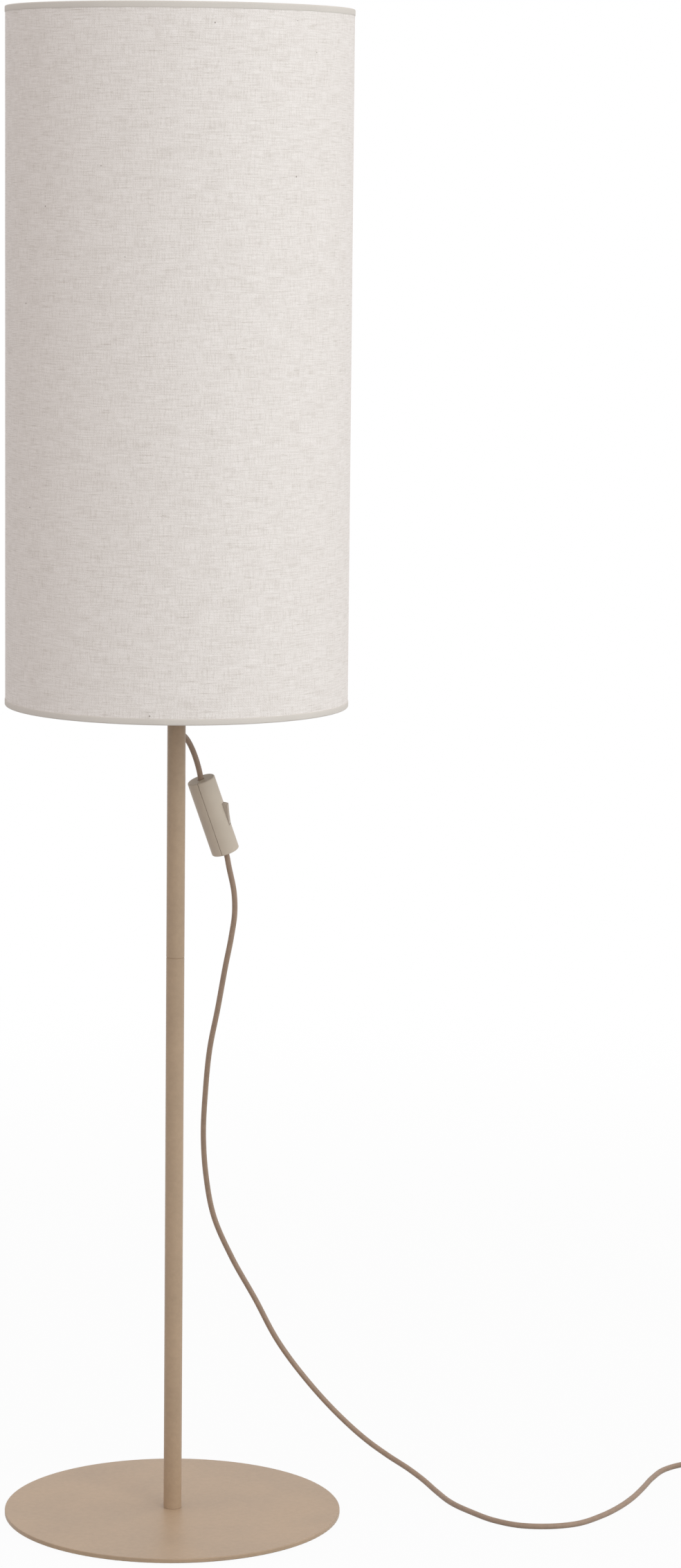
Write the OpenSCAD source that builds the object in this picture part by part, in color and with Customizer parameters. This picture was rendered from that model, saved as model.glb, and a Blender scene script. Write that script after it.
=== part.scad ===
// Column floor lamp: a tall cylindrical fabric shade on a slim two-piece pole with a flat
// round foot. The lead leaves the pole just under the shade, carries an in-line rocker
// switch, lies on the floor and ends in a two-pin plug.
// Millimetres, +Z up, origin on the floor under the pole's axis.

/* [Foot] */
// Diameter of the steel foot plate
base_d = 300; // [220:5:380]
// Thickness of the foot plate
base_t = 4; // [3:0.5:10]
// Rounding of the foot plate's edges
base_edge_r = 0.8; // [0.5:0.1:1.5]
// Diameter of a felt pad
pad_d = 20; // [10:1:30]
// Thickness of a felt pad
pad_t = 2; // [1:0.5:4]
// Number of felt pads
pad_count = 6; // [3:1:8]
// Distance from a pad's rim to the plate's rim
pad_inset = 9; // [4:1:30]

/* [Pole] */
// Outer diameter of the pole
pole_d = 16; // [15:0.5:22]
// Wall of the pole
pole_wall = 1.5; // [1:0.1:1.5]
// Length of the lower tube
lower_pole_l = 500; // [400:5:650]
// Length of the upper tube
upper_pole_l = 422; // [400:1:550]
// Chamfer at the ends that meet in the joint
joint_chamfer = 0.45; // [0.2:0.05:0.6]
// Length of the threaded inserts in the tubes
insert_l = 20; // [15:1:30]
// Diameter of the joint's stud and of the foot screw
stud_d = 8; // [6:1:9]
// Length of thread that the stud and the screw have in their insert
stud_grip = 15; // [10:1:15]
// Diameter of the foot screw's countersunk head
screw_head_d = 13; // [12:0.5:14]

/* [Cord exit] */
// Distance from the shade's lower rim down to the cord's exit
exit_drop = 28; // [20:1:40]
// Direction of the exit, from +X towards +Y
exit_az = 74; // [40:1:100]
// Diameter of the grommet's flange
grommet_d = 12; // [8.6:0.1:13]
// How far the flange stands off the pole
grommet_stand = 2; // [1:0.1:3]
// Wall of the grommet's neck round the cord
grommet_wall = 1.4; // [1:0.1:1.6]

/* [Shade] */
// Outer diameter of the shade
shade_d = 300; // [240:5:400]
// Height of the shade
shade_h = 600; // [450:10:750]
// Height of the shade ring above the shade's lower rim
fitter_up = 226; // [120:1:240]
// Thickness of the stiff inner foil
liner_t = 0.5; // [0.3:0.1:1]
// Thickness of the fabric
fabric_t = 0.4; // [0.3:0.1:0.8]
// Width of the fabric's glued overlap at the back
seam_w = 9; // [5:1:15]
// Thickness of the edge trim
trim_t = 0.4; // [0.3:0.1:0.6]
// Height of the edge trim
trim_h = 5.5; // [5:0.5:9]
// Diameter of the rim rings' wire
rim_wire_d = 4; // [3:0.5:5]
// Diameter of the arms' wire
arm_wire_d = 4; // [3:0.5:4]
// Number of arms
arm_count = 3; // [3:1:4]
// Radius of an arm's bend at its middle line
arm_bend_r = 16; // [10:1:30]
// Outer diameter of the shade ring
fitter_d = 56; // [52:1:70]
// Thickness of the shade ring
fitter_t = 2; // [1.5:0.5:3]

/* [Lampholder] */
// Height of the lampholder's cap
cap_h = 22; // [18:1:30]
// Diameter of the cap
cap_d = 42; // [40:1:46]
// Diameter of the cap's foot on the pole
cap_foot_d = 20; // [18:1:26]
// Wall of the cap
cap_wall = 2.5; // [2:0.1:3]
// Thickness of the contact carrier's flange
core_flange_t = 1.5; // [1:0.5:3]
// Height of the collar that the shade ring sits on
collar_h = 4.5; // [3:0.5:8]
// Diameter of the collar
collar_d = 45; // [44:1:50]
// Diameter of the lampholder's outer thread
holder_d = 40; // [39.5:0.5:41]
// Length of the outer thread
holder_thread_l = 28; // [24:1:36]
// Wall of the lampholder's body
holder_wall = 3; // [2:0.1:3]
// Diameter of the mouth
mouth_d = 29.2; // [28.5:0.1:31]
// Outer diameter of the nipple between the pole and the cap
nipple_d = 10; // [9.5:0.5:10]
// Bore of the nipple
nipple_bore = 7; // [6:0.5:7]
// Outer diameter of the ring nut
nut_d = 50; // [46:1:54]
// Height of the ring nut
nut_h = 7; // [5:1:10]
// Number of grip notches in the ring nut
nut_notches = 16; // [8:1:24]

/* [Bulb] */
// Diameter of the bulb's screw cap
bulb_cap_d = 26.4; // [26:0.1:26.6]
// Length of the bulb's screw cap, tip to rim
bulb_cap_l = 27; // [25:1:30]
// Diameter of the globe
bulb_d = 60; // [45:5:95]
// Length of the bulb, tip to crown
bulb_l = 108; // [100:1:150]
// Wall of the globe
bulb_wall = 1.2; // [0.8:0.1:2]

/* [Switch] */
// Diameter of the switch's barrel
switch_d = 25; // [22:1:30]
// Length of the barrel
switch_l = 70.5; // [66:0.5:90]
// Wall of the barrel
switch_wall = 1.8; // [1.5:0.1:2]
// Rounding of the barrel's ends
switch_end_r = 1.2; // [0.8:0.1:1.7]
// Diameter of the cord holes in the barrel's ends
switch_hole_d = 6.3; // [5.5:0.1:7]
// Width of the groove along the parting line
parting_w = 0.45; // [0.2:0.05:0.5]
// Length of the rocker
rocker_l = 18.6; // [16:0.1:26]
// Width of the rocker
rocker_w = 5.2; // [4.6:0.1:8.4]
// Tilt of the rocker either side of its middle position
rocker_tilt = 12.5; // [8:0.5:14]
// Slope of each half of the rocker's face
rocker_dish = 1.5; // [0:0.5:5]
// Height of the rocker's face over its pin
rocker_rise = 4.7; // [3.2:0.1:5]
// Depth of the rocker's pin under the barrel's surface
pin_depth = 3; // [2.5:0.1:4]
// How far the rocker sits below the barrel's middle
rocker_down = 1; // [0:0.1:3]
// Diameter of the rocker's pin
pin_d = 2; // [1.5:0.1:2.5]
// Diameter of the switch's screws
switch_screw_d = 2.6; // [2:0.1:3]

/* [Cord] */
// Diameter of the cord
cord_d = 5; // [4:0.5:6]
// Inner radius of the coil, at the cord's middle
coil_r = 21; // [20:0.5:30]
// Turns of the coil, in two layers
coil_turns = 6.25; // [4.25:1:8.25]
// Gap between neighbouring turns and between the layers
coil_gap = 0.5; // [0.45:0.05:1]
// Width of the coil's tie
tie_w = 6; // [4:1:12]
// Thickness of the coil's tie
tie_t = 0.8; // [0.5:0.1:1.5]

/* [Plug] */
// Width of the plug's body
plug_w = 35.3; // [30:0.1:40]
// Thickness of the plug's body
plug_t = 13.7; // [12:0.1:16]
// Length of the plug's body
plug_l = 36; // [30:1:45]
// Length of the strain relief
relief_l = 24; // [20:1:40]
// Number of grooves in the strain relief
relief_grooves = 5; // [3:1:7]
// Distance between the pins
prong_gap = 18.6; // [17:0.1:20]
// Diameter of the pins
prong_d = 4; // [3.8:0.1:4.2]
// Length of the pins
prong_l = 19; // [17:1:21]
// Length of the sleeves on the pins
sleeve_l = 10; // [8:1:11]

/* [Fits] */
// Gap between pieces that are glued or wrapped
glue_gap = 0.05; // [0.02:0.01:0.1]
// Radial gap of a thread or a pushed-in insert
fit_gap = 0.05; // [0.02:0.01:0.1]
// Radial gap of the rocker's running fit on its pin
run_gap = 0.05; // [0.02:0.01:0.08]
// Gap round the foot screw in the plate
sink_gap = 0.15; // [0.1:0.05:0.3]
// Radial gap between the bulb's cap and its screw shell
bulb_gap = 0.3; // [0.2:0.05:0.5]
// Gap round the rocker in its window
window_gap = 0.35; // [0.3:0.05:0.6]

/* [Hidden] */
$fn = 64;

// Colours
beige = [0.66, 0.57, 0.49];
taupe = [0.54, 0.46, 0.40];
greige = [0.74, 0.68, 0.62];
linen = [0.86, 0.82, 0.78];
band = [0.78, 0.73, 0.68];
steel = [0.72, 0.72, 0.73];
brass = [0.80, 0.66, 0.38];
felt = [0.35, 0.33, 0.31];
white_plastic = [0.92, 0.91, 0.89];
nickel = [0.80, 0.79, 0.76];

// Heights, from the floor up
plate_z = pad_t;
pole_z = plate_z + base_t;
joint_z = pole_z + lower_pole_l;
pole_top_z = joint_z + upper_pole_l;
core_z = pole_top_z + cap_h;
body_z = core_z + core_flange_t;
fitter_z = body_z + collar_h;
mouth_z = fitter_z + holder_thread_l;
shade_z = fitter_z - fitter_up;
shade_top_z = shade_z + shade_h;
exit_z = shade_z - exit_drop;

// Radii
pole_r = pole_d / 2;
bore_r = pole_r - pole_wall;
insert_r = bore_r - fit_gap;
stud_r = stud_d / 2;
cord_r = cord_d / 2;
cord_hole_r = cord_r + fit_gap;
exit_r = pole_r + grommet_stand;
neck_r = cord_hole_r + grommet_wall;

// Shade: the layers from the outside in
shade_r = shade_d / 2;
fabric_r = shade_r - trim_t - glue_gap;
liner_r = fabric_r - fabric_t - glue_gap;
liner_in_r = liner_r - liner_t;
rim_wire_r = rim_wire_d / 2;
rim_r = liner_in_r - glue_gap - rim_wire_r;
trim_in_r = rim_r - rim_wire_r - glue_gap - trim_t;
trim_edge_r = 1.2;
rim_inset = trim_t + glue_gap + rim_wire_r;
arm_wire_r = arm_wire_d / 2;
arm_r = liner_in_r - glue_gap - arm_wire_r;
arm_foot_z = shade_z + rim_inset + rim_wire_r;
arm_z = fitter_z + fitter_t / 2;

// Lampholder, from its axis out
nipple_r = nipple_d / 2;
cavity_r = holder_d / 2 - holder_wall;
shell_t = 0.4;
shell_r = bulb_cap_d / 2 + bulb_gap;
core_h = 7;
core_top_z = core_z + core_h;
lip_t = 2;
contact_t = 0.6;
contact_rise = 2;
bulb_z = core_top_z + contact_rise + contact_t + bulb_gap;
terminal = [6, 5, 7];
terminal_x = 9;
cord_end_z = pole_top_z + 9;

// Bulb, measured from the tip of its contact
bulb_r = bulb_d / 2;
bulb_tip_h = 1.2;
bulb_skirt_z = 5;
globe_z = bulb_l - bulb_r;
neck_z = globe_z - 0.6 * bulb_r;
globe_neck_r = 0.8 * bulb_r;

// Switch: where the lead runs into its upper end, and how it hangs
switch_top = [21.7, 36, 659.5];
switch_lean = 20.7;
switch_lean_az = 205;
switch_spin = 139;
switch_r = switch_d / 2;
switch_cavity_r = switch_r - switch_wall;
switch_inside = switch_l / 2 - switch_wall;
parting_depth = 0.8;
switch_hole_r = switch_hole_d / 2;
pin_x = switch_r - pin_depth;
pin_r = pin_d / 2;
pin_l = 2 * sqrt(pow(switch_r, 2) - pow(pin_x + pin_r, 2)) - 1.2;
rocker_end_h = rocker_rise + tan(rocker_dish) * rocker_l / 2;
rocker_end_r = norm([rocker_l / 2, rocker_end_h]);
rocker_depth = 2.8;
lead_in = 6;
blade_l = rocker_l - 2.6;
blade_t = 0.5;
fixed_t = 0.5;
contact_gap = 0.5;
contact_drop = (rocker_depth + glue_gap + blade_t) * cos(rocker_tilt)
    + blade_l / 2 * sin(rocker_tilt) + fixed_t + contact_gap;
carrier_top = pin_x - contact_drop;
carrier_l = 46;
boss_r = 2.6;
boss_y = 6.2;
boss_z = 27.5;
boss_h = sqrt(pow(switch_cavity_r, 2) - pow(boss_y, 2)) + 0.2;
screw_sink = 5.5;
screw_head_h = 1.6;
wire_r = 0.9;
wire_y = 1.3;
screw_head_r = 2.3;
switch_axis = [sin(switch_lean) * cos(switch_lean_az), sin(switch_lean) * sin(switch_lean_az),
               cos(switch_lean)];
switch_mid = switch_top - switch_axis * switch_l / 2;
switch_bottom = switch_top - switch_axis * switch_l;

// Coil: it lies on its tie, just right of the lamp
coil_pitch = cord_d + coil_gap;
coil_out_r = coil_r + coil_pitch * coil_turns / 2;
coil_base_z = tie_t + 0.2 + cord_r;
coil_xy = [526, 109.3];
coil_start = [coil_xy.x, coil_xy.y + coil_out_r, coil_base_z];
coil_end = [coil_xy.x + coil_out_r, coil_xy.y, coil_base_z + coil_pitch];
tie_az = 205;

// Plug: it lies flat on the floor beside the coil, its pins towards -Y
plug_drop = 34;
relief_end = [coil_end.x, coil_end.y - plug_drop, plug_t / 2];
relief_r = 4.6;
relief_tip_r = 3.4;
prong_r = prong_d / 2;
stem_r = 1.4;
sleeve_r = 1.84;

// The lead's way from the switch to the coil: hanging, then along the floor
exit_dir = [cos(exit_az), sin(exit_az), 0];
exit_point = exit_dir * exit_r + [0, 0, exit_z];
floor_z = cord_r;
route = [
    [47.3, 48.5, 579], [52.2, 52, 554.2], [52.7, 54.5, 535.7], [50.2, 58, 516], [45, 65.5, 486.5],
    [38.5, 77, 446], [31.5, 90.5, 405.5], [28, 104, 364], [26.5, 118, 318],
    [29, 128, 281.5], [36.5, 138, 240], [53.5, 145.5, 199], [75.5, 150, 158.5],
    [96.5, 150, 119], [125.5, 145.5, 80.5], [154, 135, 51.5], [179.5, 120, 32],
    [198, 106, 22], [216.5, 88, 14.5], [228.5, 72, 9.5], [240, 51, 4.5],
    [251, 25, floor_z], [268, -5, floor_z], [288, -31, floor_z], [308, -44.5, floor_z],
    [333, -48, floor_z], [358, -41.5, floor_z], [385, -16.5, floor_z], [403, 9, floor_z],
    [418, 37, floor_z], [431, 68, floor_z], [443, 99, floor_z], [457, 125, floor_z],
    [474, 140, floor_z], [498, 146.5, floor_z + 0.5]
];

// ---------------------------------------------------------------- curves and tubes

// A smooth curve through the points: each stretch is a cubic whose end slopes come from its
// neighbours, cut into steps of about the given length
function slope(points, i) =
    i == 0 ? points[1] - points[0] :
    i == len(points) - 1 ? points[i] - points[i - 1] :
    let(before = norm(points[i] - points[i - 1]), after = norm(points[i + 1] - points[i]))
    ((points[i] - points[i - 1]) * after / before + (points[i + 1] - points[i]) * before / after)
    / (before + after);
function unit_slope(points, i) =
    i == 0 || i == len(points) - 1 ? slope(points, i) / norm(slope(points, i)) : slope(points, i);
function cubic(a, b, slope_a, slope_b, t) =
    let(s = 1 - t, reach = norm(b - a))
    a * (1 + 2 * t) * s * s + b * t * t * (3 - 2 * t)
    + (slope_a * t * s * s - slope_b * t * t * s) * reach;
function smooth(points, step) = [
    for (i = [0 : len(points) - 2])
        let(cuts = max(1, round(norm(points[i + 1] - points[i]) / step)))
        for (k = [0 : cuts - 1])
            cubic(points[i], points[i + 1], unit_slope(points, i), unit_slope(points, i + 1),
                  k / cuts),
    points[len(points) - 1]
];

function direction(path, i) =
    let(a = path[max(0, i - 1)], b = path[min(len(path) - 1, i + 1)]) (b - a) / norm(b - a);

// A round tube swept along the path. side_ref is never parallel to the path
module tube(path, r, sides, side_ref) {
    rings = len(path);
    points = [
        for (i = [0 : rings - 1])
            let(t = direction(path, i), n = cross(t, side_ref), u = n / norm(n), v = cross(t, u))
            for (k = [0 : sides - 1])
                path[i] + r * (cos(360 * k / sides) * u + sin(360 * k / sides) * v)
    ];
    skin = [
        for (i = [0 : rings - 2])
            for (k = [0 : sides - 1])
                let(a = i * sides + k, b = i * sides + (k + 1) % sides)
                each [[a, b, a + sides], [b, b + sides, a + sides]]
    ];
    start_cap = [for (k = [1 : sides - 2]) [0, k + 1, k]];
    last = (rings - 1) * sides;
    end_cap = [for (k = [1 : sides - 2]) [last, last + k, last + k + 1]];
    polyhedron(points, [for (f = concat(skin, start_cap, end_cap)) [f[2], f[1], f[0]]]);
}

// ---------------------------------------------------------------- shapes used more than once

// A round slab with both edges rounded
module rounded_slab(r, h, edge) {
    rotate_extrude() {
        square([r - edge, h]);
        translate([0, edge]) square([r, h - 2 * edge]);
        for (z = [edge, h - edge])
            translate([r - edge, z]) circle(edge, $fn = 32);
    }
}

module pipe(r, r_in, h) {
    difference() {
        cylinder(r = r, h = h);
        translate([0, 0, -1]) cylinder(r = r_in, h = h + 2);
    }
}

module round_ring(r, wire_r) {
    rotate_extrude($fn = 128)
        translate([r, 0]) circle(wire_r, $fn = 32);
}

// A rectangle with round corners, in its own plane
module soft_rectangle(size, r) {
    translate([r, 0]) square([size.x - 2 * r, size.y]);
    translate([0, r]) square([size.x, size.y - 2 * r]);
    for (x = [r, size.x - r], y = [r, size.y - r])
        translate([x, y]) circle(r, $fn = 32);
}

// ---------------------------------------------------------------- foot

module foot_screw_hole() {
    cone_h = screw_head_d / 2 - stud_r;
    translate([0, 0, plate_z]) {
        cylinder(r1 = screw_head_d / 2 + sink_gap, r2 = stud_r + sink_gap, h = cone_h);
        cylinder(r = stud_r + sink_gap, h = base_t + 1);
    }
}

module base_plate() {
    color(beige) difference() {
        translate([0, 0, plate_z]) rounded_slab(base_d / 2, base_t, base_edge_r, $fn = 160);
        foot_screw_hole();
    }
}

module felt_pads() {
    color(felt)
        for (i = [0 : pad_count - 1])
            rotate([0, 0, 360 * (i + 0.5) / pad_count])
                translate([base_d / 2 - pad_inset - pad_d / 2, 0, 0])
                    cylinder(d = pad_d, h = pad_t);
}

module foot_screw() {
    cone_h = screw_head_d / 2 - stud_r;
    socket_af = 5;
    socket_h = 2.5;
    color(steel) difference() {
        translate([0, 0, plate_z]) {
            cylinder(r1 = screw_head_d / 2, r2 = stud_r, h = cone_h);
            cylinder(r = stud_r, h = base_t + stud_grip);
        }
        translate([0, 0, plate_z - 1]) cylinder(d = socket_af / cos(30), h = socket_h + 1, $fn = 6);
    }
}

module foot_insert() {
    color(steel) translate([0, 0, pole_z]) pipe(insert_r, stud_r + fit_gap, insert_l);
}

// ---------------------------------------------------------------- pole

module chamfered_tube(l, chamfer_low, chamfer_high) {
    rotate_extrude()
        polygon([
            [bore_r, 0], [pole_r - chamfer_low, 0], [pole_r, chamfer_low],
            [pole_r, l - chamfer_high], [pole_r - chamfer_high, l], [bore_r, l]
        ]);
}

module lower_pole() {
    color(beige) translate([0, 0, pole_z])
        chamfered_tube(lower_pole_l, joint_chamfer / 2, joint_chamfer);
}

module joint_socket() {
    color(steel) translate([0, 0, joint_z - insert_l])
        pipe(insert_r, stud_r + fit_gap, insert_l);
}

module joint_stud() {
    color(steel) {
        translate([0, 0, joint_z]) cylinder(r = insert_r, h = insert_l);
        translate([0, 0, joint_z - stud_grip]) cylinder(r = stud_r, h = stud_grip + 1);
    }
}

module upper_pole() {
    color(beige) difference() {
        translate([0, 0, joint_z]) chamfered_tube(upper_pole_l, joint_chamfer, joint_chamfer);
        toward_exit() cylinder(r = neck_r + fit_gap, h = exit_r);
    }
}

module head_insert() {
    color(steel) translate([0, 0, pole_top_z - insert_l])
        pipe(insert_r, nipple_r + fit_gap, insert_l);
}

// ---------------------------------------------------------------- cord exit

// Stands the children's +Z along the cord's exit, from the pole's axis outwards
module toward_exit() {
    translate([0, 0, exit_z]) rotate([0, 0, exit_az]) rotate([0, 90, 0]) children();
}

module cord_grommet() {
    neck_in = bore_r - 0.5;
    edge = 0.7;
    color(taupe) difference() {
        union() {
            difference() {
                toward_exit() translate([0, 0, exit_r / 2])
                    rounded_slab(grommet_d / 2, exit_r / 2, edge);
                translate([0, 0, exit_z - grommet_d])
                    cylinder(r = pole_r + glue_gap, h = 2 * grommet_d);
            }
            toward_exit() translate([0, 0, neck_in]) cylinder(r = neck_r, h = exit_r - neck_in);
        }
        toward_exit() cylinder(r = cord_hole_r, h = exit_r + 1);
    }
}

// The lead's stretch inside the pole, from the grommet up into the lampholder
module inner_cord() {
    bend_r = bore_r - 0.5;
    color(taupe) {
        toward_exit() translate([0, 0, bend_r]) cylinder(r = cord_r, h = exit_r - bend_r);
        rotate([0, 0, exit_az]) translate([bend_r, 0, exit_z + bend_r]) rotate([90, 0, 0])
            rotate([0, 0, 180]) rotate_extrude(angle = 90) translate([bend_r, 0])
                circle(cord_r, $fn = 32);
        translate([0, 0, exit_z + bend_r])
            cylinder(r = cord_r, h = cord_end_z - exit_z - bend_r, $fn = 32);
    }
}

// ---------------------------------------------------------------- lampholder

module holder_nipple() {
    below = insert_l - 4;
    above = 6;
    color(steel) translate([0, 0, pole_top_z - below])
        pipe(nipple_r, nipple_bore / 2, below + above);
}

// A cap that flares from the pole to the body, hollow for the terminals
module holder_cap() {
    foot = cap_foot_d / 2;
    rim = cap_d / 2;
    floor_t = 4;
    flare = cap_h * 0.5;
    color(beige) translate([0, 0, pole_top_z]) rotate_extrude()
        polygon([
            [nipple_r + fit_gap, 0], [foot, 0], [foot, 2],
            for (a = [0 : 15 : 90])
                [foot + (rim - foot) * sin(a), 2 + flare * (1 - cos(a))],
            [rim, cap_h], [rim - cap_wall, cap_h],
            for (a = [90 : -15 : 0])
                [max(foot - cap_wall, 7) + (rim - cap_wall - max(foot - cap_wall, 7)) * sin(a),
                 floor_t + flare * (1 - cos(a))],
            [nipple_r + fit_gap, floor_t]
        ]);
}

// The carrier of the contacts: a flange held between cap and body, and a raised middle
module holder_core() {
    color(white_plastic) difference() {
        translate([0, 0, core_z]) {
            cylinder(r = cap_d / 2 - 0.6, h = core_flange_t);
            cylinder(r = cavity_r - fit_gap, h = core_h);
        }
        for (x = [-terminal_x, terminal_x])
            translate([x, 0, core_z - 1]) cylinder(d = 3, h = core_h + 2, $fn = 24);
    }
}

module holder_terminals() {
    color(brass)
        for (x = [-terminal_x, terminal_x])
            difference() {
                union() {
                    translate([x - terminal.x / 2, -terminal.y / 2, core_z - terminal.z])
                        cube(terminal);
                    translate([x, 0, core_z - 1]) cylinder(d = 2.8, h = core_h + 1, $fn = 24);
                }
                translate([x, terminal.y, core_z - terminal.z / 2]) rotate([90, 0, 0])
                    cylinder(d = 2.5, h = terminal.y, $fn = 24);
            }
}

// The two insulated cores between the lead's end and the terminals
module holder_wires() {
    rise = core_z - terminal.z - cord_end_z;
    color(white_plastic)
        for (side = [-1, 1])
            hull() {
                translate([side * wire_y, 0, cord_end_z]) cylinder(r = wire_r, h = 0.5, $fn = 12);
                translate([side * terminal_x, 0, cord_end_z + rise - 0.5])
                    cylinder(r = wire_r, h = 0.5, $fn = 12);
            }
}

// The body: a collar for the shade ring, an outer thread for its nut, and the mouth
module holder_body() {
    r = holder_d / 2;
    color(beige) translate([0, 0, body_z]) rotate_extrude()
        polygon([
            [cavity_r, 0], [collar_d / 2, 0], [collar_d / 2, collar_h], [r, collar_h],
            [r, mouth_z - body_z - 1], [r - 1, mouth_z - body_z],
            [mouth_d / 2 + 0.5, mouth_z - body_z], [mouth_d / 2, mouth_z - body_z - 0.5],
            [mouth_d / 2, mouth_z - body_z - lip_t], [cavity_r, mouth_z - body_z - lip_t]
        ]);
}

module screw_shell() {
    color(brass) translate([0, 0, core_top_z])
        pipe(shell_r + shell_t, shell_r, mouth_z - lip_t - core_top_z - 0.5);
}

// A sprung tongue that carries the bulb's tip
module centre_contact() {
    w = 5;
    reach = 9;
    color(brass) translate([0, w / 2, core_top_z]) rotate([90, 0, 0]) linear_extrude(w)
        polygon([
            [-reach, 0], [-reach + 4, 0], [-2, contact_rise], [3, contact_rise],
            [3, contact_rise + contact_t], [-2.3, contact_rise + contact_t],
            [-reach + 3.7, contact_t], [-reach, contact_t]
        ]);
}

module shade_ring_nut() {
    notch_r = 1.6;
    color(beige) translate([0, 0, fitter_z + fitter_t]) difference() {
        pipe(nut_d / 2, holder_d / 2 + fit_gap, nut_h);
        for (i = [0 : nut_notches - 1])
            rotate([0, 0, 360 * i / nut_notches]) translate([nut_d / 2 + 0.6, 0, 1.5])
                cylinder(r = notch_r, h = nut_h, $fn = 24);
    }
}

// ---------------------------------------------------------------- shade

module fitter_ring() {
    color(steel) translate([0, 0, fitter_z])
        pipe(fitter_d / 2, holder_d / 2 + 1, fitter_t);
}

// Each arm is one wire: out from the shade ring, round a bend and down to the lower rim ring
module shade_arms() {
    bend_x = arm_r - arm_bend_r;
    color(steel)
        for (i = [0 : arm_count - 1])
            rotate([0, 0, 90 + 360 * i / arm_count]) {
                difference() {
                    translate([0, 0, arm_z]) rotate([0, 90, 0])
                        cylinder(r = arm_wire_r, h = bend_x, $fn = 32);
                    translate([0, 0, arm_z - arm_wire_d])
                        cylinder(r = fitter_d / 2 + glue_gap, h = 2 * arm_wire_d);
                }
                translate([bend_x, 0, arm_z - arm_bend_r]) rotate([90, 0, 0])
                    rotate_extrude(angle = 90) translate([arm_bend_r, 0])
                        circle(arm_wire_r, $fn = 32);
                translate([arm_r, 0, arm_foot_z])
                    cylinder(r = arm_wire_r, h = arm_z - arm_bend_r - arm_foot_z, $fn = 32);
            }
}

module top_ring() {
    color(steel) translate([0, 0, shade_top_z - rim_inset]) round_ring(rim_r, rim_wire_r);
}

module bottom_ring() {
    color(steel) translate([0, 0, shade_z + rim_inset]) round_ring(rim_r, rim_wire_r);
}

module shade_liner() {
    color(white_plastic) translate([0, 0, shade_z + trim_edge_r])
        pipe(liner_r, liner_in_r, shade_h - 2 * trim_edge_r, $fn = 160);
}

// The fabric, with its glued overlap at the back
module shade_fabric() {
    color(linen) translate([0, 0, shade_z + trim_edge_r]) {
        pipe(fabric_r, fabric_r - fabric_t, shade_h - 2 * trim_edge_r, $fn = 160);
        translate([0, 0, trim_h]) intersection() {
            pipe(fabric_r + fabric_t, fabric_r - fabric_t / 2,
                 shade_h - 2 * trim_edge_r - 2 * trim_h, $fn = 160);
            translate([-seam_w / 2, 0, 0]) cube([seam_w, shade_d, shade_h]);
        }
    }
}

// The trim folds over the rim and round the rim ring. It is drawn for the top rim
module trim() {
    w = shade_r - trim_in_r;
    rotate_extrude($fn = 160) translate([trim_in_r, -trim_h]) difference() {
        soft_rectangle([w, trim_h], trim_edge_r);
        translate([trim_t, -trim_h])
            soft_rectangle([w - 2 * trim_t, 2 * trim_h - trim_t], trim_edge_r - trim_t);
        translate([-1, -1]) square([w + 2, 1 + 0.01]);
    }
}

module top_trim() {
    color(band) translate([0, 0, shade_top_z]) trim();
}

module bottom_trim() {
    color(band) translate([0, 0, shade_z]) mirror([0, 0, 1]) trim();
}

// ---------------------------------------------------------------- bulb

module bulb_contact() {
    color(nickel) translate([0, 0, bulb_z]) cylinder(r1 = 3.5, r2 = 4.8, h = bulb_tip_h);
}

module bulb_insulator() {
    color([0.1, 0.1, 0.1]) translate([0, 0, bulb_z + bulb_tip_h])
        cylinder(r1 = 5.2, r2 = bulb_cap_d / 2 - 1, h = bulb_skirt_z - bulb_tip_h);
}

module bulb_cap() {
    color(nickel) translate([0, 0, bulb_z + bulb_skirt_z])
        pipe(bulb_cap_d / 2, bulb_cap_d / 2 - 0.5, bulb_cap_l - bulb_skirt_z);
}

// A spigot in the screw cap, and a housing that widens to the globe
module bulb_housing() {
    spigot_r = bulb_cap_d / 2 - 0.5 - fit_gap;
    foot_r = bulb_cap_d / 2 + 0.6;
    rise = neck_z - bulb_cap_l;
    color(white_plastic) translate([0, 0, bulb_z]) rotate_extrude()
        polygon([
            [0, bulb_skirt_z], [spigot_r, bulb_skirt_z], [spigot_r, bulb_cap_l],
            for (t = [0 : 0.125 : 1])
                [foot_r + (globe_neck_r - foot_r) * (t + t * (1 - t) * 0.5), bulb_cap_l + rise * t],
            [0, neck_z]
        ]);
}

module bulb_globe() {
    cut_h = 2 * bulb_r;
    color(white_plastic) translate([0, 0, bulb_z]) difference() {
        translate([0, 0, globe_z]) sphere(bulb_r, $fn = 96);
        translate([0, 0, globe_z]) sphere(bulb_r - bulb_wall, $fn = 96);
        translate([0, 0, neck_z - cut_h]) cylinder(r = bulb_d, h = cut_h);
    }
}

// ---------------------------------------------------------------- switch

// Hangs the children in the lead: local +Z along the barrel to its upper end, +X out of the
// rocker, +Y along the rocker's pin
module hang() {
    translate(switch_mid) rotate([0, 0, switch_lean_az]) rotate([0, switch_lean, 0])
        rotate([0, 0, switch_spin]) children();
}

module barrel() {
    translate([0, 0, -switch_l / 2]) rounded_slab(switch_r, switch_l, switch_end_r);
}

module barrel_cavity() {
    cylinder(r = switch_cavity_r, h = 2 * switch_inside, center = true);
    cylinder(r = switch_hole_r, h = switch_l + 2, center = true);
}

// One half of the barrel: side 1 holds the rocker, side -1 is the back
module half_barrel(side) {
    size = switch_l + switch_d;
    difference() {
        barrel();
        barrel_cavity();
        translate([-side * size / 2, 0, 0]) cube(size, center = true);
        parting_groove();
    }
}

module parting_groove() {
    difference() {
        cube([parting_w, switch_d + 2, switch_l + 2], center = true);
        translate([0, 0, -switch_l / 2 + parting_depth])
            cylinder(r = switch_r - parting_depth, h = switch_l - 2 * parting_depth);
    }
}

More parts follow.
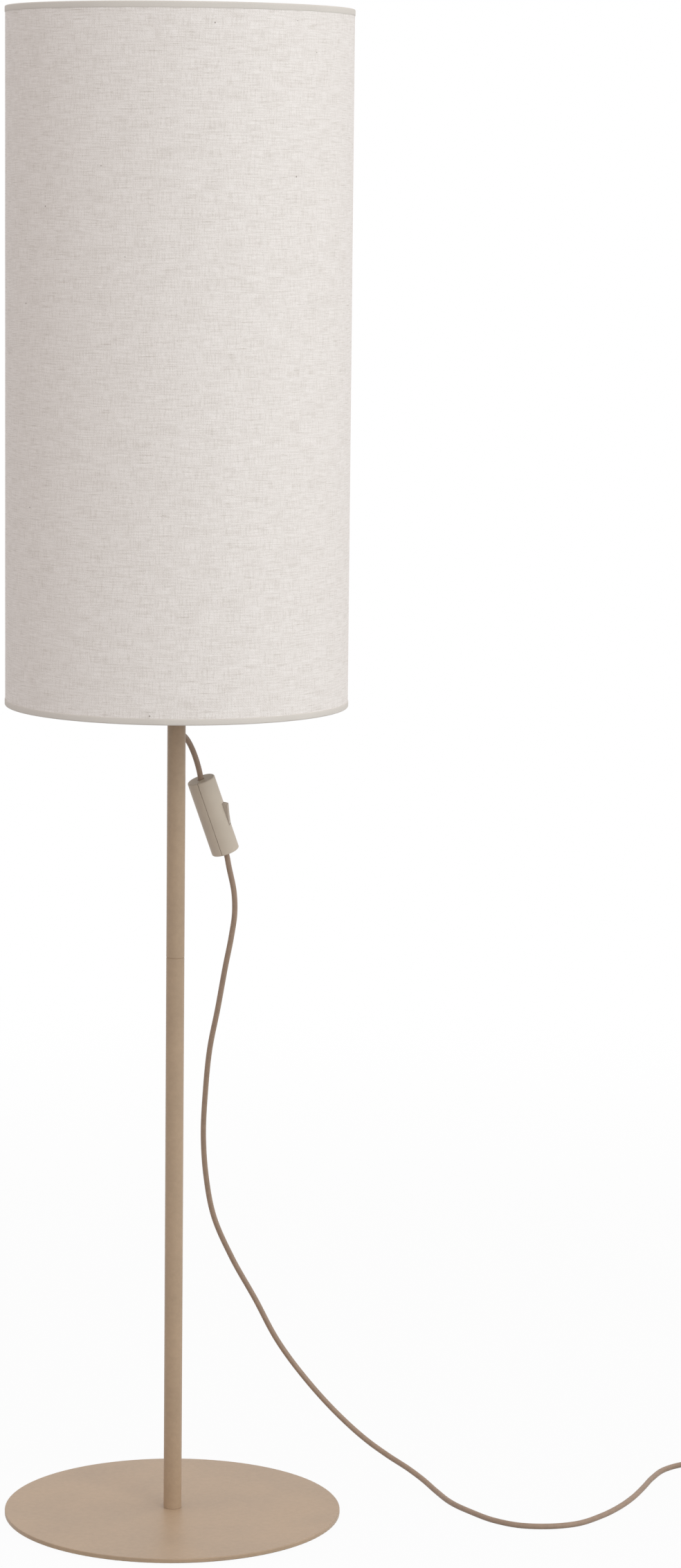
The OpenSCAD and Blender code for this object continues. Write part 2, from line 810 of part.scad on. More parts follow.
// Stands the children's +Z on each screw's place, from the back's side to the front's
module screw_places() {
    for (end = [-1, 1])
        translate([0, boss_y, end * boss_z]) rotate([0, 90, 0]) children();
}

// The rocker's window: its ends follow the sweep of the rocker's round ends
module rocker_window() {
    w = rocker_w + 2 * window_gap;
    r = rocker_end_r + window_gap;
    translate([pin_x, 0, -rocker_down]) intersection() {
        rotate([90, 0, 0]) cylinder(r = r, h = w, center = true);
        translate([0, -w / 2, -r]) cube([switch_r, w, 2 * r]);
    }
}

module switch_front() {
    color(greige) hang() difference() {
        union() {
            half_barrel(1);
            screw_places() cylinder(r = boss_r, h = boss_h, $fn = 32);
        }
        rocker_window();
        translate([pin_x, 0, -rocker_down]) rotate([90, 0, 0])
            cylinder(r = pin_r + fit_gap, h = pin_l + 0.1, center = true, $fn = 32);
        screw_places() translate([0, 0, -1])
            cylinder(r = switch_screw_d / 2 + fit_gap, h = boss_h, $fn = 32);
    }
}

module switch_back() {
    color(greige) hang() difference() {
        union() {
            half_barrel(-1);
            screw_places() translate([0, 0, -boss_h]) cylinder(r = boss_r, h = boss_h, $fn = 32);
        }
        screw_places() {
            translate([0, 0, -switch_r])
                cylinder(r = switch_screw_d / 2 + 0.15, h = switch_r + 1, $fn = 32);
            translate([0, 0, -switch_r]) cylinder(r = screw_head_r + 0.1, h = screw_sink,
                                                  $fn = 32);
        }
    }
}

module switch_screws() {
    length = switch_r - screw_sink + boss_h - 2;
    slot = 0.7;
    color(steel) hang() screw_places() translate([0, 0, screw_sink - switch_r])
        difference() {
            union() {
                cylinder(r = switch_screw_d / 2, h = length, $fn = 32);
                translate([0, 0, -screw_head_h]) cylinder(r = screw_head_r, h = screw_head_h,
                                                          $fn = 32);
            }
            for (a = [0, 90])
                rotate([0, 0, a]) translate([-screw_head_r, -slot / 2, -screw_head_h - 0.1])
                    cube([2 * screw_head_r, slot, 1]);
        }
}

// Turns the children with the rocker, at rest with its upper end out
module rocked() {
    translate([pin_x, 0, -rocker_down]) rotate([0, rocker_tilt, 0]) children();
}

// The rocker's side view: a shallow V for the finger, round ends that sweep past the window
module switch_rocker() {
    half = rocker_l / 2;
    color(greige) hang() rocked() difference() {
        intersection() {
            translate([0, rocker_w / 2, 0]) rotate([90, 0, 0]) linear_extrude(rocker_w)
                polygon([
                    [-rocker_depth, -half - 2], [rocker_end_h + tan(rocker_dish) * 2, -half - 2],
                    [rocker_rise, 0], [rocker_end_h + tan(rocker_dish) * 2, half + 2],
                    [-rocker_depth, half + 2]
                ]);
            rotate([90, 0, 0]) cylinder(r = rocker_end_r, h = rocker_w, center = true);
        }
        rotate([90, 0, 0]) cylinder(r = pin_r + run_gap, h = rocker_w + 2, center = true, $fn = 32);
    }
}

module rocker_pin() {
    color(steel) hang() translate([pin_x, 0, -rocker_down]) rotate([90, 0, 0])
        cylinder(r = pin_r, h = pin_l, center = true, $fn = 32);
}

// The moving contact: a strip under the rocker
module rocker_contact() {
    w = 4;
    color(brass) hang() rocked()
        translate([-rocker_depth - blade_t - glue_gap, -w / 2, -blade_l / 2])
            cube([blade_t, w, blade_l]);
}

// The moulded bed that carries the fixed contacts
module switch_carrier() {
    bed = 6;
    color(white_plastic) hang() intersection() {
        cylinder(r = switch_cavity_r - fit_gap, h = carrier_l, center = true);
        translate([carrier_top - bed, -switch_r, -carrier_l / 2]) cube([bed, switch_d, carrier_l]);
    }
}

module switch_contacts() {
    w = 4;
    inner = blade_l / 2 - 2;
    block = 5;
    color(brass) hang()
        for (side = [0, 1])
            mirror([0, 0, side]) {
                translate([carrier_top, -w / 2, inner])
                    cube([fixed_t, w, carrier_l / 2 - inner]);
                translate([carrier_top, -w / 2, carrier_l / 2 - block]) cube([2.4, w, block]);
            }
}

// The bared cores between the lead's ends and the contacts
module switch_wires() {
    color(brass) hang()
        for (side = [0, 1], y = [-wire_y, wire_y])
            mirror([0, 0, side]) hull() {
                translate([0, y, switch_l / 2 - lead_in - 0.4])
                    cylinder(r = wire_r, h = 0.4, $fn = 12);
                translate([carrier_top + 1.2, y, carrier_l / 2])
                    cylinder(r = wire_r, h = 0.4, $fn = 12);
            }
}

// ---------------------------------------------------------------- cord

// From the grommet's face round and down into the switch's upper end
feed_points = [
    exit_point,
    for (t = [0 : 0.125 : 1])
        let(a = exit_point + exit_dir * 1.5, b = exit_point + exit_dir * 23.5,
            c = switch_top + switch_axis * 19 + [3.6, 0, 0], d = switch_top, s = 1 - t)
        a * s * s * s + b * 3 * s * s * t + c * 3 * s * t * t + d * t * t * t,
    switch_top - switch_axis * lead_in
];

module feed_cord() {
    color(taupe) tube(feed_points, cord_r, 8, [0.8, 0, 0.6]);
}

mains_points = concat(
    [switch_bottom + switch_axis * lead_in, switch_bottom],
    route, [coil_start - [2 * cord_d, 0, 0], coil_start - [cord_d, 0, 0]]
);

module mains_cord() {
    color(taupe) tube(smooth(mains_points, 17), cord_r, 8, [0.8, 0, 0.6]);
}

// The coil spirals in on the floor, climbs a layer in the half turn where the spiral
// reverses, and spirals out on top
function coil_point(turn) =
    let(u = turn - coil_turns / 2, r = coil_r + coil_pitch * abs(u),
        climb = min(1, max(0, 2 * u + 0.5)), az = 90 - 360 * turn)
    [coil_xy.x + r * cos(az), coil_xy.y + r * sin(az),
     coil_base_z + coil_pitch * climb * climb * (3 - 2 * climb)];
coil_path = concat(
    [coil_start - [cord_d, 0, 0]],
    [for (i = [0 : round(24 * coil_turns)]) coil_point(i / 24)],
    [coil_end - [0, cord_d, 0]]
);
coil_gaps = [
    for (i = [0 : len(coil_path) - 13])
        min([for (j = [i + 12 : len(coil_path) - 1]) norm(coil_path[i] - coil_path[j]) - cord_d])
];
echo(least_coil_gap = min(coil_gaps));

function path_length(path, i = 0) =
    i >= len(path) - 1 ? 0 : norm(path[i + 1] - path[i]) + path_length(path, i + 1);
echo(feed_length = path_length(feed_points), mains_length = path_length(smooth(mains_points, 2)),
     coil_length = path_length(coil_path), tail_length = path_length(tail_points));

module cord_coil() {
    color(taupe) tube(coil_path, cord_r, 6, [0, 0, 1]);
}

// A flat strap round the bundle of turns
module coil_tie() {
    low = coil_r - cord_r - 0.6;
    high = coil_out_r + cord_r + 0.6;
    top = coil_base_z + coil_pitch + cord_r + 0.2;
    color(band) translate([coil_xy.x, coil_xy.y, 0]) rotate([0, 0, tie_az])
        translate([low - tie_t, tie_w / 2, 0]) rotate([90, 0, 0]) linear_extrude(tie_w)
            difference() {
                soft_rectangle([high - low + 2 * tie_t, top + tie_t], 1.6);
                translate([tie_t, tie_t]) soft_rectangle([high - low, top - tie_t], 1.6 - tie_t);
            }
}

// From the coil's end down to the plug's strain relief
tail_points = smooth([
    coil_end - [0, cord_d, 0], coil_end - [0, 2 * cord_d, 0],
    relief_end + [0, cord_d, 0], relief_end
], 8);

module cord_tail() {
    color(taupe) tube(tail_points, cord_r, 8, [0, 0, 1]);
}

// ---------------------------------------------------------------- plug

// Lays the children on the floor: local +X along the plug from the relief's end to the pins
module lay_plug() {
    translate(relief_end) rotate([0, 0, -90]) children();
}

module plug_relief() {
    step = relief_l / (relief_grooves + 1);
    groove = 0.7;
    color(greige) lay_plug() rotate([0, 90, 0]) difference() {
        cylinder(r1 = relief_tip_r, r2 = relief_r, h = relief_l);
        for (i = [1 : relief_grooves])
            translate([0, 0, i * step - 1]) difference() {
                cylinder(r = relief_r + 1, h = 2);
                cylinder(r = relief_tip_r + (relief_r - relief_tip_r) * i / (relief_grooves + 1)
                         - groove, h = 2);
            }
    }
}

// Half the plug's width along it: it widens from the relief to the shoulder
function plug_flank(side) = [
    for (i = [0 : 8])
        let(t = i / 8, waist = relief_r + 2.4)
        [plug_l * 0.62 * t, side * (waist + (plug_w / 2 - waist) * t * t * (3 - 2 * t))]
];

// The body: the plan outline, cut to a section with sloping sides
module plug_body() {
    half = plug_w / 2;
    edge = 0.8;
    edge_t = plug_t * 0.62;
    flat = half * 0.55;
    color(greige) lay_plug() translate([relief_l, 0, 0]) intersection() {
        translate([0, 0, -plug_t / 2]) linear_extrude(plug_t)
            polygon(concat(
                plug_flank(-1),
                [[plug_l - edge, -half], [plug_l, -half + edge],
                 [plug_l, half - edge], [plug_l - edge, half]],
                [for (i = [8 : -1 : 0]) plug_flank(1)[i]]
            ));
        rotate([90, 0, 90]) linear_extrude(plug_l)
            polygon([
                [-half, -edge_t / 2], [-flat, -plug_t / 2], [flat, -plug_t / 2],
                [half, -edge_t / 2], [half, edge_t / 2], [flat, plug_t / 2],
                [-flat, plug_t / 2], [-half, edge_t / 2]
            ]);
    }
}

module prong_places() {
    lay_plug()
        for (side = [-1, 1])
            translate([relief_l + plug_l, side * prong_gap / 2, 0]) rotate([0, 90, 0]) children();
}

module plug_sleeves() {
    color([0.15, 0.15, 0.15]) prong_places() pipe(sleeve_r, stem_r + glue_gap, sleeve_l, $fn = 32);
}

module plug_pins() {
    color(nickel) prong_places() {
        cylinder(r = stem_r, h = sleeve_l + 0.5, $fn = 32);
        translate([0, 0, sleeve_l]) cylinder(r = prong_r, h = prong_l - sleeve_l - prong_r,
                                             $fn = 32);
        translate([0, 0, prong_l - prong_r]) sphere(prong_r, $fn = 32);
    }
}

// ---------------------------------------------------------------- nodes

base_plate();
felt_pads();
foot_screw();
foot_insert();
lower_pole();
joint_socket();
joint_stud();
upper_pole();
head_insert();
cord_grommet();
inner_cord();
holder_nipple();
holder_cap();
holder_core();
holder_terminals();
holder_wires();
holder_body();
screw_shell();
centre_contact();
shade_ring_nut();
fitter_ring();
shade_arms();
top_ring();
bottom_ring();
shade_liner();
shade_fabric();
top_trim();
bottom_trim();
bulb_contact();
bulb_insulator();
bulb_cap();
bulb_housing();
bulb_globe();
feed_cord();
switch_front();
switch_back();
switch_rocker();
rocker_pin();
rocker_contact();
switch_carrier();
switch_contacts();
switch_wires();
switch_screws();
mains_cord();
cord_coil();
coil_tie();
cord_tail();
plug_relief();
plug_body();
plug_sleeves();
plug_pins();
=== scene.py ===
"""The looks of a column floor lamp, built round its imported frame.

The frame gives every rigid piece its shape and place. This script adds the camera and the
studio, the lead and its coil, the cloth of the shade with its edge tapes, the threads and
the felt, and a finish for everything.
"""

from __future__ import annotations

import logging
import math
from dataclasses import dataclass
from enum import Enum
from typing import Any, Callable, Iterable, Mapping, Optional, Sequence, Union

import bmesh
import bpy
from mathutils import Matrix, Vector
from mathutils.noise import noise as wave_noise

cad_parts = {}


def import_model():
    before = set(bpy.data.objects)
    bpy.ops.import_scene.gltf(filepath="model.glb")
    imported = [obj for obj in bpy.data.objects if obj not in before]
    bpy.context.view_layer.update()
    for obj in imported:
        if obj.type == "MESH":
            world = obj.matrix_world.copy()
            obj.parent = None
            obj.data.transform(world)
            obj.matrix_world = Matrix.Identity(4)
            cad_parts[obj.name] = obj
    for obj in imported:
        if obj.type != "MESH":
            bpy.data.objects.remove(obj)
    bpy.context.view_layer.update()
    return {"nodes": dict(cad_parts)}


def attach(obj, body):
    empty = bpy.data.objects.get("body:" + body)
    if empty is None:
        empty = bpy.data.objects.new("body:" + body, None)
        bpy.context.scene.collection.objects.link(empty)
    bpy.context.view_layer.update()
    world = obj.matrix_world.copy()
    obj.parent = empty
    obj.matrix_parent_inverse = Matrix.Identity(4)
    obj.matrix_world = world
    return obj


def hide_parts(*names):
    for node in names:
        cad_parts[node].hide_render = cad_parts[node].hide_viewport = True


LOG = logging.getLogger("lamp")
MM = 0.001
SHARP_DEGREES = 38.0
WHITE_LIGHT = (1.0, 1.0, 1.0)
Colour = tuple[float, float, float]
Feed = Union["Wire", float, Sequence[float]]


def linear(red: int, green: int, blue: int) -> Colour:
    """Turns a screen colour into the linear one that shaders take.

    Args:
        red: Red from 0 to 255.
        green: Green from 0 to 255.
        blue: Blue from 0 to 255.

    Returns:
        The linear colour.
    """

    def one(level: int) -> float:
        """Straightens one channel."""
        share = level / 255
        return share / 12.92 if share <= 0.04045 else ((share + 0.055) / 1.055) ** 2.4

    return one(red), one(green), one(blue)


# ---------------------------------------------------------------- shader boards


class Wire:
    """An output of a node that takes part in Python sums."""

    def __init__(self, board: "Board", socket: bpy.types.NodeSocket) -> None:
        """Keeps the board and the socket.

        Args:
            board: The board that the socket is on.
            socket: The node's output.
        """
        self.board = board
        self.socket = socket

    def _sum(self, operation: str, *terms: Feed) -> "Wire":
        """Adds a Math node over the terms."""
        return self.board.node("ShaderNodeMath", {"operation": operation}, dict(enumerate(terms)))

    def __add__(self, other: Feed) -> "Wire":
        """Gives self + other."""
        return self._sum("ADD", self, other)

    def __radd__(self, other: Feed) -> "Wire":
        """Gives other + self."""
        return self._sum("ADD", other, self)

    def __sub__(self, other: Feed) -> "Wire":
        """Gives self - other."""
        return self._sum("SUBTRACT", self, other)

    def __rsub__(self, other: Feed) -> "Wire":
        """Gives other - self."""
        return self._sum("SUBTRACT", other, self)

    def __mul__(self, other: Feed) -> "Wire":
        """Gives self * other."""
        return self._sum("MULTIPLY", self, other)

    def __rmul__(self, other: Feed) -> "Wire":
        """Gives other * self."""
        return self._sum("MULTIPLY", other, self)

    def __truediv__(self, other: Feed) -> "Wire":
        """Gives self / other."""
        return self._sum("DIVIDE", self, other)

    def sine(self) -> "Wire":
        """Gives the sine of self in radians."""
        return self._sum("SINE", self)

    def angle_to(self, other: Feed) -> "Wire":
        """Gives the angle whose tangent is self / other."""
        return self._sum("ARCTAN2", self, other)

    def least(self, other: Feed) -> "Wire":
        """Gives the smaller of self and other."""
        return self._sum("MINIMUM", self, other)

    def most(self, other: Feed) -> "Wire":
        """Gives the larger of self and other."""
        return self._sum("MAXIMUM", self, other)

    def ramp(self, low: float, high: float) -> "Wire":
        """Rises smoothly from 0 at low to 1 at high.

        Args:
            low: Where the rise starts.
            high: Where it ends. It may lie under low, and then the wire falls.

        Returns:
            The smooth step.
        """
        return self.board.node(
            "ShaderNodeMapRange",
            {"interpolation_type": "SMOOTHSTEP"},
            {"Value": self, "From Min": low, "From Max": high},
        )


class Board:
    """A tree of shader nodes."""

    def __init__(self, tree: bpy.types.NodeTree) -> None:
        """Clears the tree and keeps it.

        Args:
            tree: The node tree of a material or a world.
        """
        self.tree = tree
        tree.nodes.clear()

    @staticmethod
    def _pick(
        sockets: Iterable[bpy.types.NodeSocket], key: Union[str, int]
    ) -> bpy.types.NodeSocket:
        """Finds a socket by its place, its identifier or its name."""
        every = list(sockets)
        if isinstance(key, int):
            return every[key]
        found = [s for s in every if s.identifier == key] or [s for s in every if s.name == key]
        return found[0]

    def node(
        self,
        kind: str,
        settings: Optional[Mapping[str, Any]] = None,
        feeds: Optional[Mapping[Union[str, int], Feed]] = None,
        out: Union[str, int] = 0,
    ) -> Wire:
        """Adds a node.

        Args:
            kind: The node's type.
            settings: What is set first, such as an operation.
            feeds: Values or wires by the input's name, identifier or place.
            out: The output that is wanted.

        Returns:
            The wire of that output.
        """
        made = self.tree.nodes.new(kind)
        for name, value in (settings or {}).items():
            setattr(made, name, value)
        for key, value in (feeds or {}).items():
            self._feed(self._pick(made.inputs, key), value)
        return Wire(self, self._pick(made.outputs, out))

    def end(self, kind: str, surface: "Wire") -> None:
        """Ends the board.

        Args:
            kind: The output node's type.
            surface: What goes into its surface.
        """
        self._feed(self.tree.nodes.new(kind).inputs["Surface"], surface)

    def _feed(self, socket: bpy.types.NodeSocket, value: Feed) -> None:
        """Links a wire to an input, or sets its value."""
        if isinstance(value, Wire):
            self.tree.links.new(value.socket, socket)
        elif isinstance(value, (int, float)):
            socket.default_value = value
        else:
            socket.default_value = (tuple(value) + (1.0,))[: len(socket.default_value)]

    def mix(self, factor: Feed, first: Feed, second: Feed) -> Wire:
        """Mixes two colours.

        Args:
            factor: How much of the second, from 0 to 1.
            first: The first colour.
            second: The second colour.

        Returns:
            The mixed colour.
        """
        return self.node(
            "ShaderNodeMix",
            {"data_type": "RGBA"},
            {"Factor_Float": factor, "A_Color": first, "B_Color": second},
            "Result_Color",
        )

    def place(self) -> Wire:
        """Gives the point in the piece's own space, in metres."""
        return self.node("ShaderNodeTexCoord", out="Object")

    def axes(self, vector: Wire) -> tuple[Wire, Wire, Wire]:
        """Splits a vector into its three numbers."""
        first = self.node("ShaderNodeSeparateXYZ", feeds={"Vector": vector}, out="X")
        split = first.socket.node.outputs
        return first, Wire(self, split["Y"]), Wire(self, split["Z"])

    def vector(self, x: Feed, y: Feed, z: Feed) -> Wire:
        """Joins three numbers into a vector."""
        return self.node("ShaderNodeCombineXYZ", feeds={"X": x, "Y": y, "Z": z})

    def noise(self, vector: Feed, scale: float, detail: float = 2.0, rough: float = 0.5) -> Wire:
        """Adds a noise from 0 to 1.

        Args:
            vector: Where it is read.
            scale: Bumps per unit of the vector.
            detail: Octaves.
            rough: How strong the finer octaves are.

        Returns:
            The noise.
        """
        return self.node(
            "ShaderNodeTexNoise",
            feeds={"Vector": vector, "Scale": scale, "Detail": detail, "Roughness": rough},
            out="Fac",
        )

    def bump(self, height: Feed, distance: float, strength: float = 1.0) -> Wire:
        """Turns a height into a normal.

        Args:
            height: The height, about 0 to 1.
            distance: The depth of a height of 1, in metres.
            strength: How much of it shows.

        Returns:
            The normal.
        """
        return self.node(
            "ShaderNodeBump",
            feeds={"Height": height, "Distance": distance, "Strength": strength},
            out="Normal",
        )

    def surface(self, **feeds: Feed) -> None:
        """Ends the board in a Principled shader.

        Args:
            feeds: Its inputs, with an underscore for each space in a name.
        """
        named = {name.replace("_", " ").replace("Ior", "IOR"): f for name, f in feeds.items()}
        shader = self.node("ShaderNodeBsdfPrincipled", feeds=named, out="BSDF")
        self.end("ShaderNodeOutputMaterial", shader)


# ---------------------------------------------------------------- finishes


@dataclass(frozen=True)
class Finish:
    """A finish: it paints the board of a new material."""

    name: str
    colour: Colour

    def paint(self, board: Board) -> None:
        """Paints one plain colour; each finish has its own way."""
        board.surface(Base_Color=self.colour)

    def material(self) -> bpy.types.Material:
        """Makes the material, once for each name.

        Returns:
            The material.
        """
        made = bpy.data.materials.get(self.name)
        if made is None:
            made = bpy.data.materials.new(self.name)
            made.use_nodes = True
            made.diffuse_color = (*self.colour, 1.0)
            self.paint(Board(made.node_tree))
        return made


@dataclass(frozen=True)
class PowderCoat(Finish):
    """Satin powder coat: a fine orange peel, and colour that drifts a little."""

    shade: float = 0.06
    peel_mm: float = 1.1
    roughness: float = 0.44

    def paint(self, board: Board) -> None:
        """Paints the peel, the drift and the sheen."""
        place = board.place()
        drift = board.noise(place, 14.0, 3.0)
        speck = board.noise(place, 1 / (5.5 * MM), 4.0, 0.7)
        darker = tuple(c * (1 - 2 * self.shade) for c in self.colour)
        lighter = tuple(c * (1 + 2 * self.shade) for c in self.colour)
        base = board.mix(drift.ramp(0.3, 0.7) * 0.4 + speck.ramp(0.3, 0.7) * 0.3, darker, lighter)
        peel = board.noise(place, 1 / (self.peel_mm * MM), 2.0, 0.55)
        board.surface(
            Base_Color=base,
            Roughness=self.roughness + (drift - 0.5) * 0.10 + (peel - 0.5) * 0.08,
            Normal=board.bump(peel, 0.05 * MM, 0.6),
            Specular_IOR_Level=0.42,
        )


@dataclass(frozen=True)
class SlubLinen(Finish):
    """Linen on a cylinder: a plain weave with slubs along the weft and a few dark specks."""

    slub: Colour = linear(196, 186, 176)
    speck: Colour = linear(120, 104, 90)
    radius_mm: float = 150.0
    thread_mm: float = 1.1
    bend_mm: tuple[float, float] = (60.0, 25.0)
    streak_mm: tuple[float, float] = (19.0, 0.85)
    rib_mm: tuple[float, float] = (0.9, 12.0)
    rare_mm: tuple[float, float] = (17.0, 1.1)
    cloud_mm: tuple[float, float] = (30.0, 14.0)
    speck_apart_mm: float = 26.0
    speck_patch_mm: float = 60.0

    def paint(self, board: Board) -> None:
        """Paints the threads, the slubs and the specks round the cylinder."""
        x, y, z = board.axes(board.place())
        around = x.angle_to(-1 * y) * self.radius_mm
        up = z * (1 / MM)
        flat = board.vector(around, up, 0.0)
        bend = self._cells(board, around, up, self.bend_mm, 3.0)
        weft_up, warp_on = up + (bend - 0.5) * 3, around + (bend - 0.5) * 2
        turns = math.tau / (2 * self.thread_mm)
        weft, warp = (weft_up * turns).sine(), (warp_on * turns).sine()
        over = (weft * warp) * 0.5 + 0.5
        streak = self._cells(board, around, weft_up, self.streak_mm, 7.0, rough=0.6)
        rib = self._cells(board, warp_on, up, self.rib_mm, 5.0, rough=0.6)
        rare = self._cells(board, around, weft_up, self.rare_mm, 11.0, detail=1.0)
        grain = board.noise(flat, 0.8, 2.0, 0.7)
        cloud = self._cells(board, around, up, self.cloud_mm, 9.0)
        tone = streak.ramp(0.34, 0.72) * 0.27 + rib.ramp(0.42, 0.72) * 0.24
        tone = tone + grain.ramp(0.35, 0.70) * 0.20 + cloud.ramp(0.4, 0.7) * 0.06
        tone = (tone + (1 - over) * 0.05 + rare.ramp(0.60, 0.80) * 0.32).least(1.0)
        base = board.mix(tone, self.colour, self.slub)
        cells = board.node(
            "ShaderNodeTexVoronoi",
            {"feature": "F1"},
            {"Vector": flat, "Scale": 1 / self.speck_apart_mm},
            "Distance",
        )
        chance = board.noise(flat, 1 / self.speck_patch_mm, 0.0)
        dot = cells.ramp(0.036, 0.018) * chance.ramp(0.44, 0.50)
        base = board.mix(dot * 0.7, base, self.speck)
        height = over * 0.35 + streak * 0.55 + rib * 0.45 + grain * 0.3
        board.surface(
            Base_Color=base,
            Roughness=0.86 + streak * 0.10,
            Normal=board.bump(height, 0.22 * MM, 0.55),
            Sheen_Weight=0.12,
            Sheen_Roughness=0.5,
            Specular_IOR_Level=0.25,
        )

    @staticmethod
    def _cells(
        board: Board,
        x: Feed,
        y: Feed,
        size: tuple[float, float],
        layer: float,
        detail: float = 2.0,
        rough: float = 0.5,
    ) -> Wire:
        """Adds a noise whose bumps are wider than tall, or taller than wide.

        Args:
            board: The board.
            x: The way round, in millimetres.
            y: The height, in millimetres.
            size: The width and height of a bump, in millimetres.
            layer: Which slice of the noise is read, so that no two are alike.
            detail: Octaves.
            rough: How strong the finer octaves are.

        Returns:
            The noise.
        """
        return board.noise(board.vector(x / size[0], y / size[1], layer), 1.0, detail, rough)


@dataclass(frozen=True)
class EdgeTape(Finish):
    """The tape folded over a rim: close threads along the rim, nearly smooth."""

    radius_mm: float = 150.0

    def paint(self, board: Board) -> None:
        """Paints the close threads and a slow drift."""
        x, y, z = board.axes(board.place())
        around = x.angle_to(-1 * y) * self.radius_mm
        up = z * (1 / MM)
        thread = board.noise(board.vector(around / 1.6, up / 0.5, 2.0), 1.0, 2.0)
        drift = board.noise(board.vector(around / 45, up / 12, 4.0), 1.0, 2.0)
        darker = tuple(c * 0.90 for c in self.colour)
        tone = thread.ramp(0.4, 0.75) * 0.45 + drift.ramp(0.35, 0.7) * 0.35
        board.surface(
            Base_Color=board.mix(tone, self.colour, darker),
            Roughness=0.78 + thread * 0.1,
            Normal=board.bump(thread, 0.08 * MM, 0.5),
            Sheen_Weight=0.08,
            Specular_IOR_Level=0.3,
        )


@dataclass(frozen=True)
class Moulded(Finish):
    """Moulded plastic with a fine spark-eroded grain."""

    roughness: float = 0.5
    grain_mm: float = 0.35
    depth_mm: float = 0.02

    def paint(self, board: Board) -> None:
        """Paints the grain and a slight cloudiness."""
        place = board.place()
        grain = board.noise(place, 1 / (self.grain_mm * MM), 2.0, 0.6)
        cloud = board.noise(place, 28.0, 2.0)
        darker = tuple(c * 0.93 for c in self.colour)
        lighter = tuple(min(1.0, c * 1.03) for c in self.colour)
        tone = cloud.ramp(0.3, 0.7) * 0.7 + grain * 0.3
        board.surface(
            Base_Color=board.mix(tone, darker, lighter),
            Roughness=self.roughness + (grain - 0.5) * 0.14,
            Normal=board.bump(grain, self.depth_mm * MM, 0.7),
            Specular_IOR_Level=0.42,
        )


@dataclass(frozen=True)
class Sheath(Finish):
    """The lead's soft plastic sheath: smooth, with faint waves and handling marks."""

    def paint(self, board: Board) -> None:
        """Paints the faint waves, the marks and the satin."""
        place = board.place()
        wave = board.noise(place, 160.0, 2.0)
        mark = board.noise(place, 700.0, 3.0, 0.65)
        darker = tuple(c * 0.88 for c in self.colour)
        lighter = tuple(c * 1.06 for c in self.colour)
        tone = wave.ramp(0.3, 0.7) * 0.6 + mark.ramp(0.35, 0.75) * 0.4
        board.surface(
            Base_Color=board.mix(tone, darker, lighter),
            Roughness=0.42 + mark * 0.16,
            Normal=board.bump(mark, 0.04 * MM, 0.35),
            Specular_IOR_Level=0.42,
        )


@dataclass(frozen=True)
class Plated(Finish):
    """Plated metal: fine turning marks and duller patches."""

    roughness: float = 0.28
    dull: float = 0.12

    def paint(self, board: Board) -> None:
        """Paints the marks and the patches."""
        x, y, z = board.axes(board.place())
        marks = board.noise(board.vector(x * 120, y * 120, z * 2600), 1.0, 2.0, 0.6)
        patch = board.noise(board.place(), 90.0, 3.0)
        darker = tuple(c * 0.82 for c in self.colour)
        board.surface(
            Base_Color=board.mix(patch.ramp(0.35, 0.75) * 0.6, self.colour, darker),
            Metallic=1.0,
            Roughness=self.roughness + patch * self.dull + (marks - 0.5) * 0.08,
            Normal=board.bump(marks, 0.02 * MM, 0.5),
        )


@dataclass(frozen=True)
class Felt(Finish):
    """Pressed felt: short fibres that catch the light."""

    def paint(self, board: Board) -> None:
        """Paints the matted fibres."""
        place = board.place()
        fibre = board.noise(place, 1900.0, 4.0, 0.75)
        clump = board.noise(place, 380.0, 2.0)
        darker = tuple(c * 0.7 for c in self.colour)
        board.surface(
            Base_Color=board.mix(fibre.ramp(0.35, 0.7), darker, self.colour),
            Roughness=0.92 + clump * 0.06,
            Normal=board.bump(fibre + clump * 0.6, 0.25 * MM, 0.8),
            Sheen_Weight=0.3,
        )


@dataclass(frozen=True)
class Foil(Finish):
    """The stiff white foil inside the shade: smooth, with a soft shine."""

    def paint(self, board: Board) -> None:
        """Paints the faint waves of the glue under the foil."""
        x, y, z = board.axes(board.place())
        wave = board.noise(board.vector(x * 40, y * 40, z * 8), 1.0, 2.0)
        fine = board.noise(board.place(), 900.0, 2.0)
        darker = tuple(c * 0.95 for c in self.colour)
        board.surface(
            Base_Color=board.mix(wave.ramp(0.35, 0.7), self.colour, darker),
            Roughness=0.5 + fine * 0.12,
            Normal=board.bump(wave * 0.8 + fine * 0.2, 0.08 * MM, 0.5),
            Specular_IOR_Level=0.4,
        )


@dataclass(frozen=True)
class Opal(Finish):
    """Opal diffuser of the bulb: white, satin, a little light comes through its skin."""

    def paint(self, board: Board) -> None:
        """Paints the milky skin."""
        place = board.place()
        milk = board.noise(place, 60.0, 2.0)
        fine = board.noise(place, 1500.0, 1.0)
        darker = tuple(c * 0.96 for c in self.colour)
        board.surface(
            Base_Color=board.mix(milk.ramp(0.3, 0.7), self.colour, darker),
            Roughness=0.30 + fine * 0.1,
            Subsurface_Weight=0.25,
            Subsurface_Radius=(0.01, 0.009, 0.008),
            Subsurface_Scale=0.5,
            Normal=board.bump(fine, 0.01 * MM, 0.4),
        )


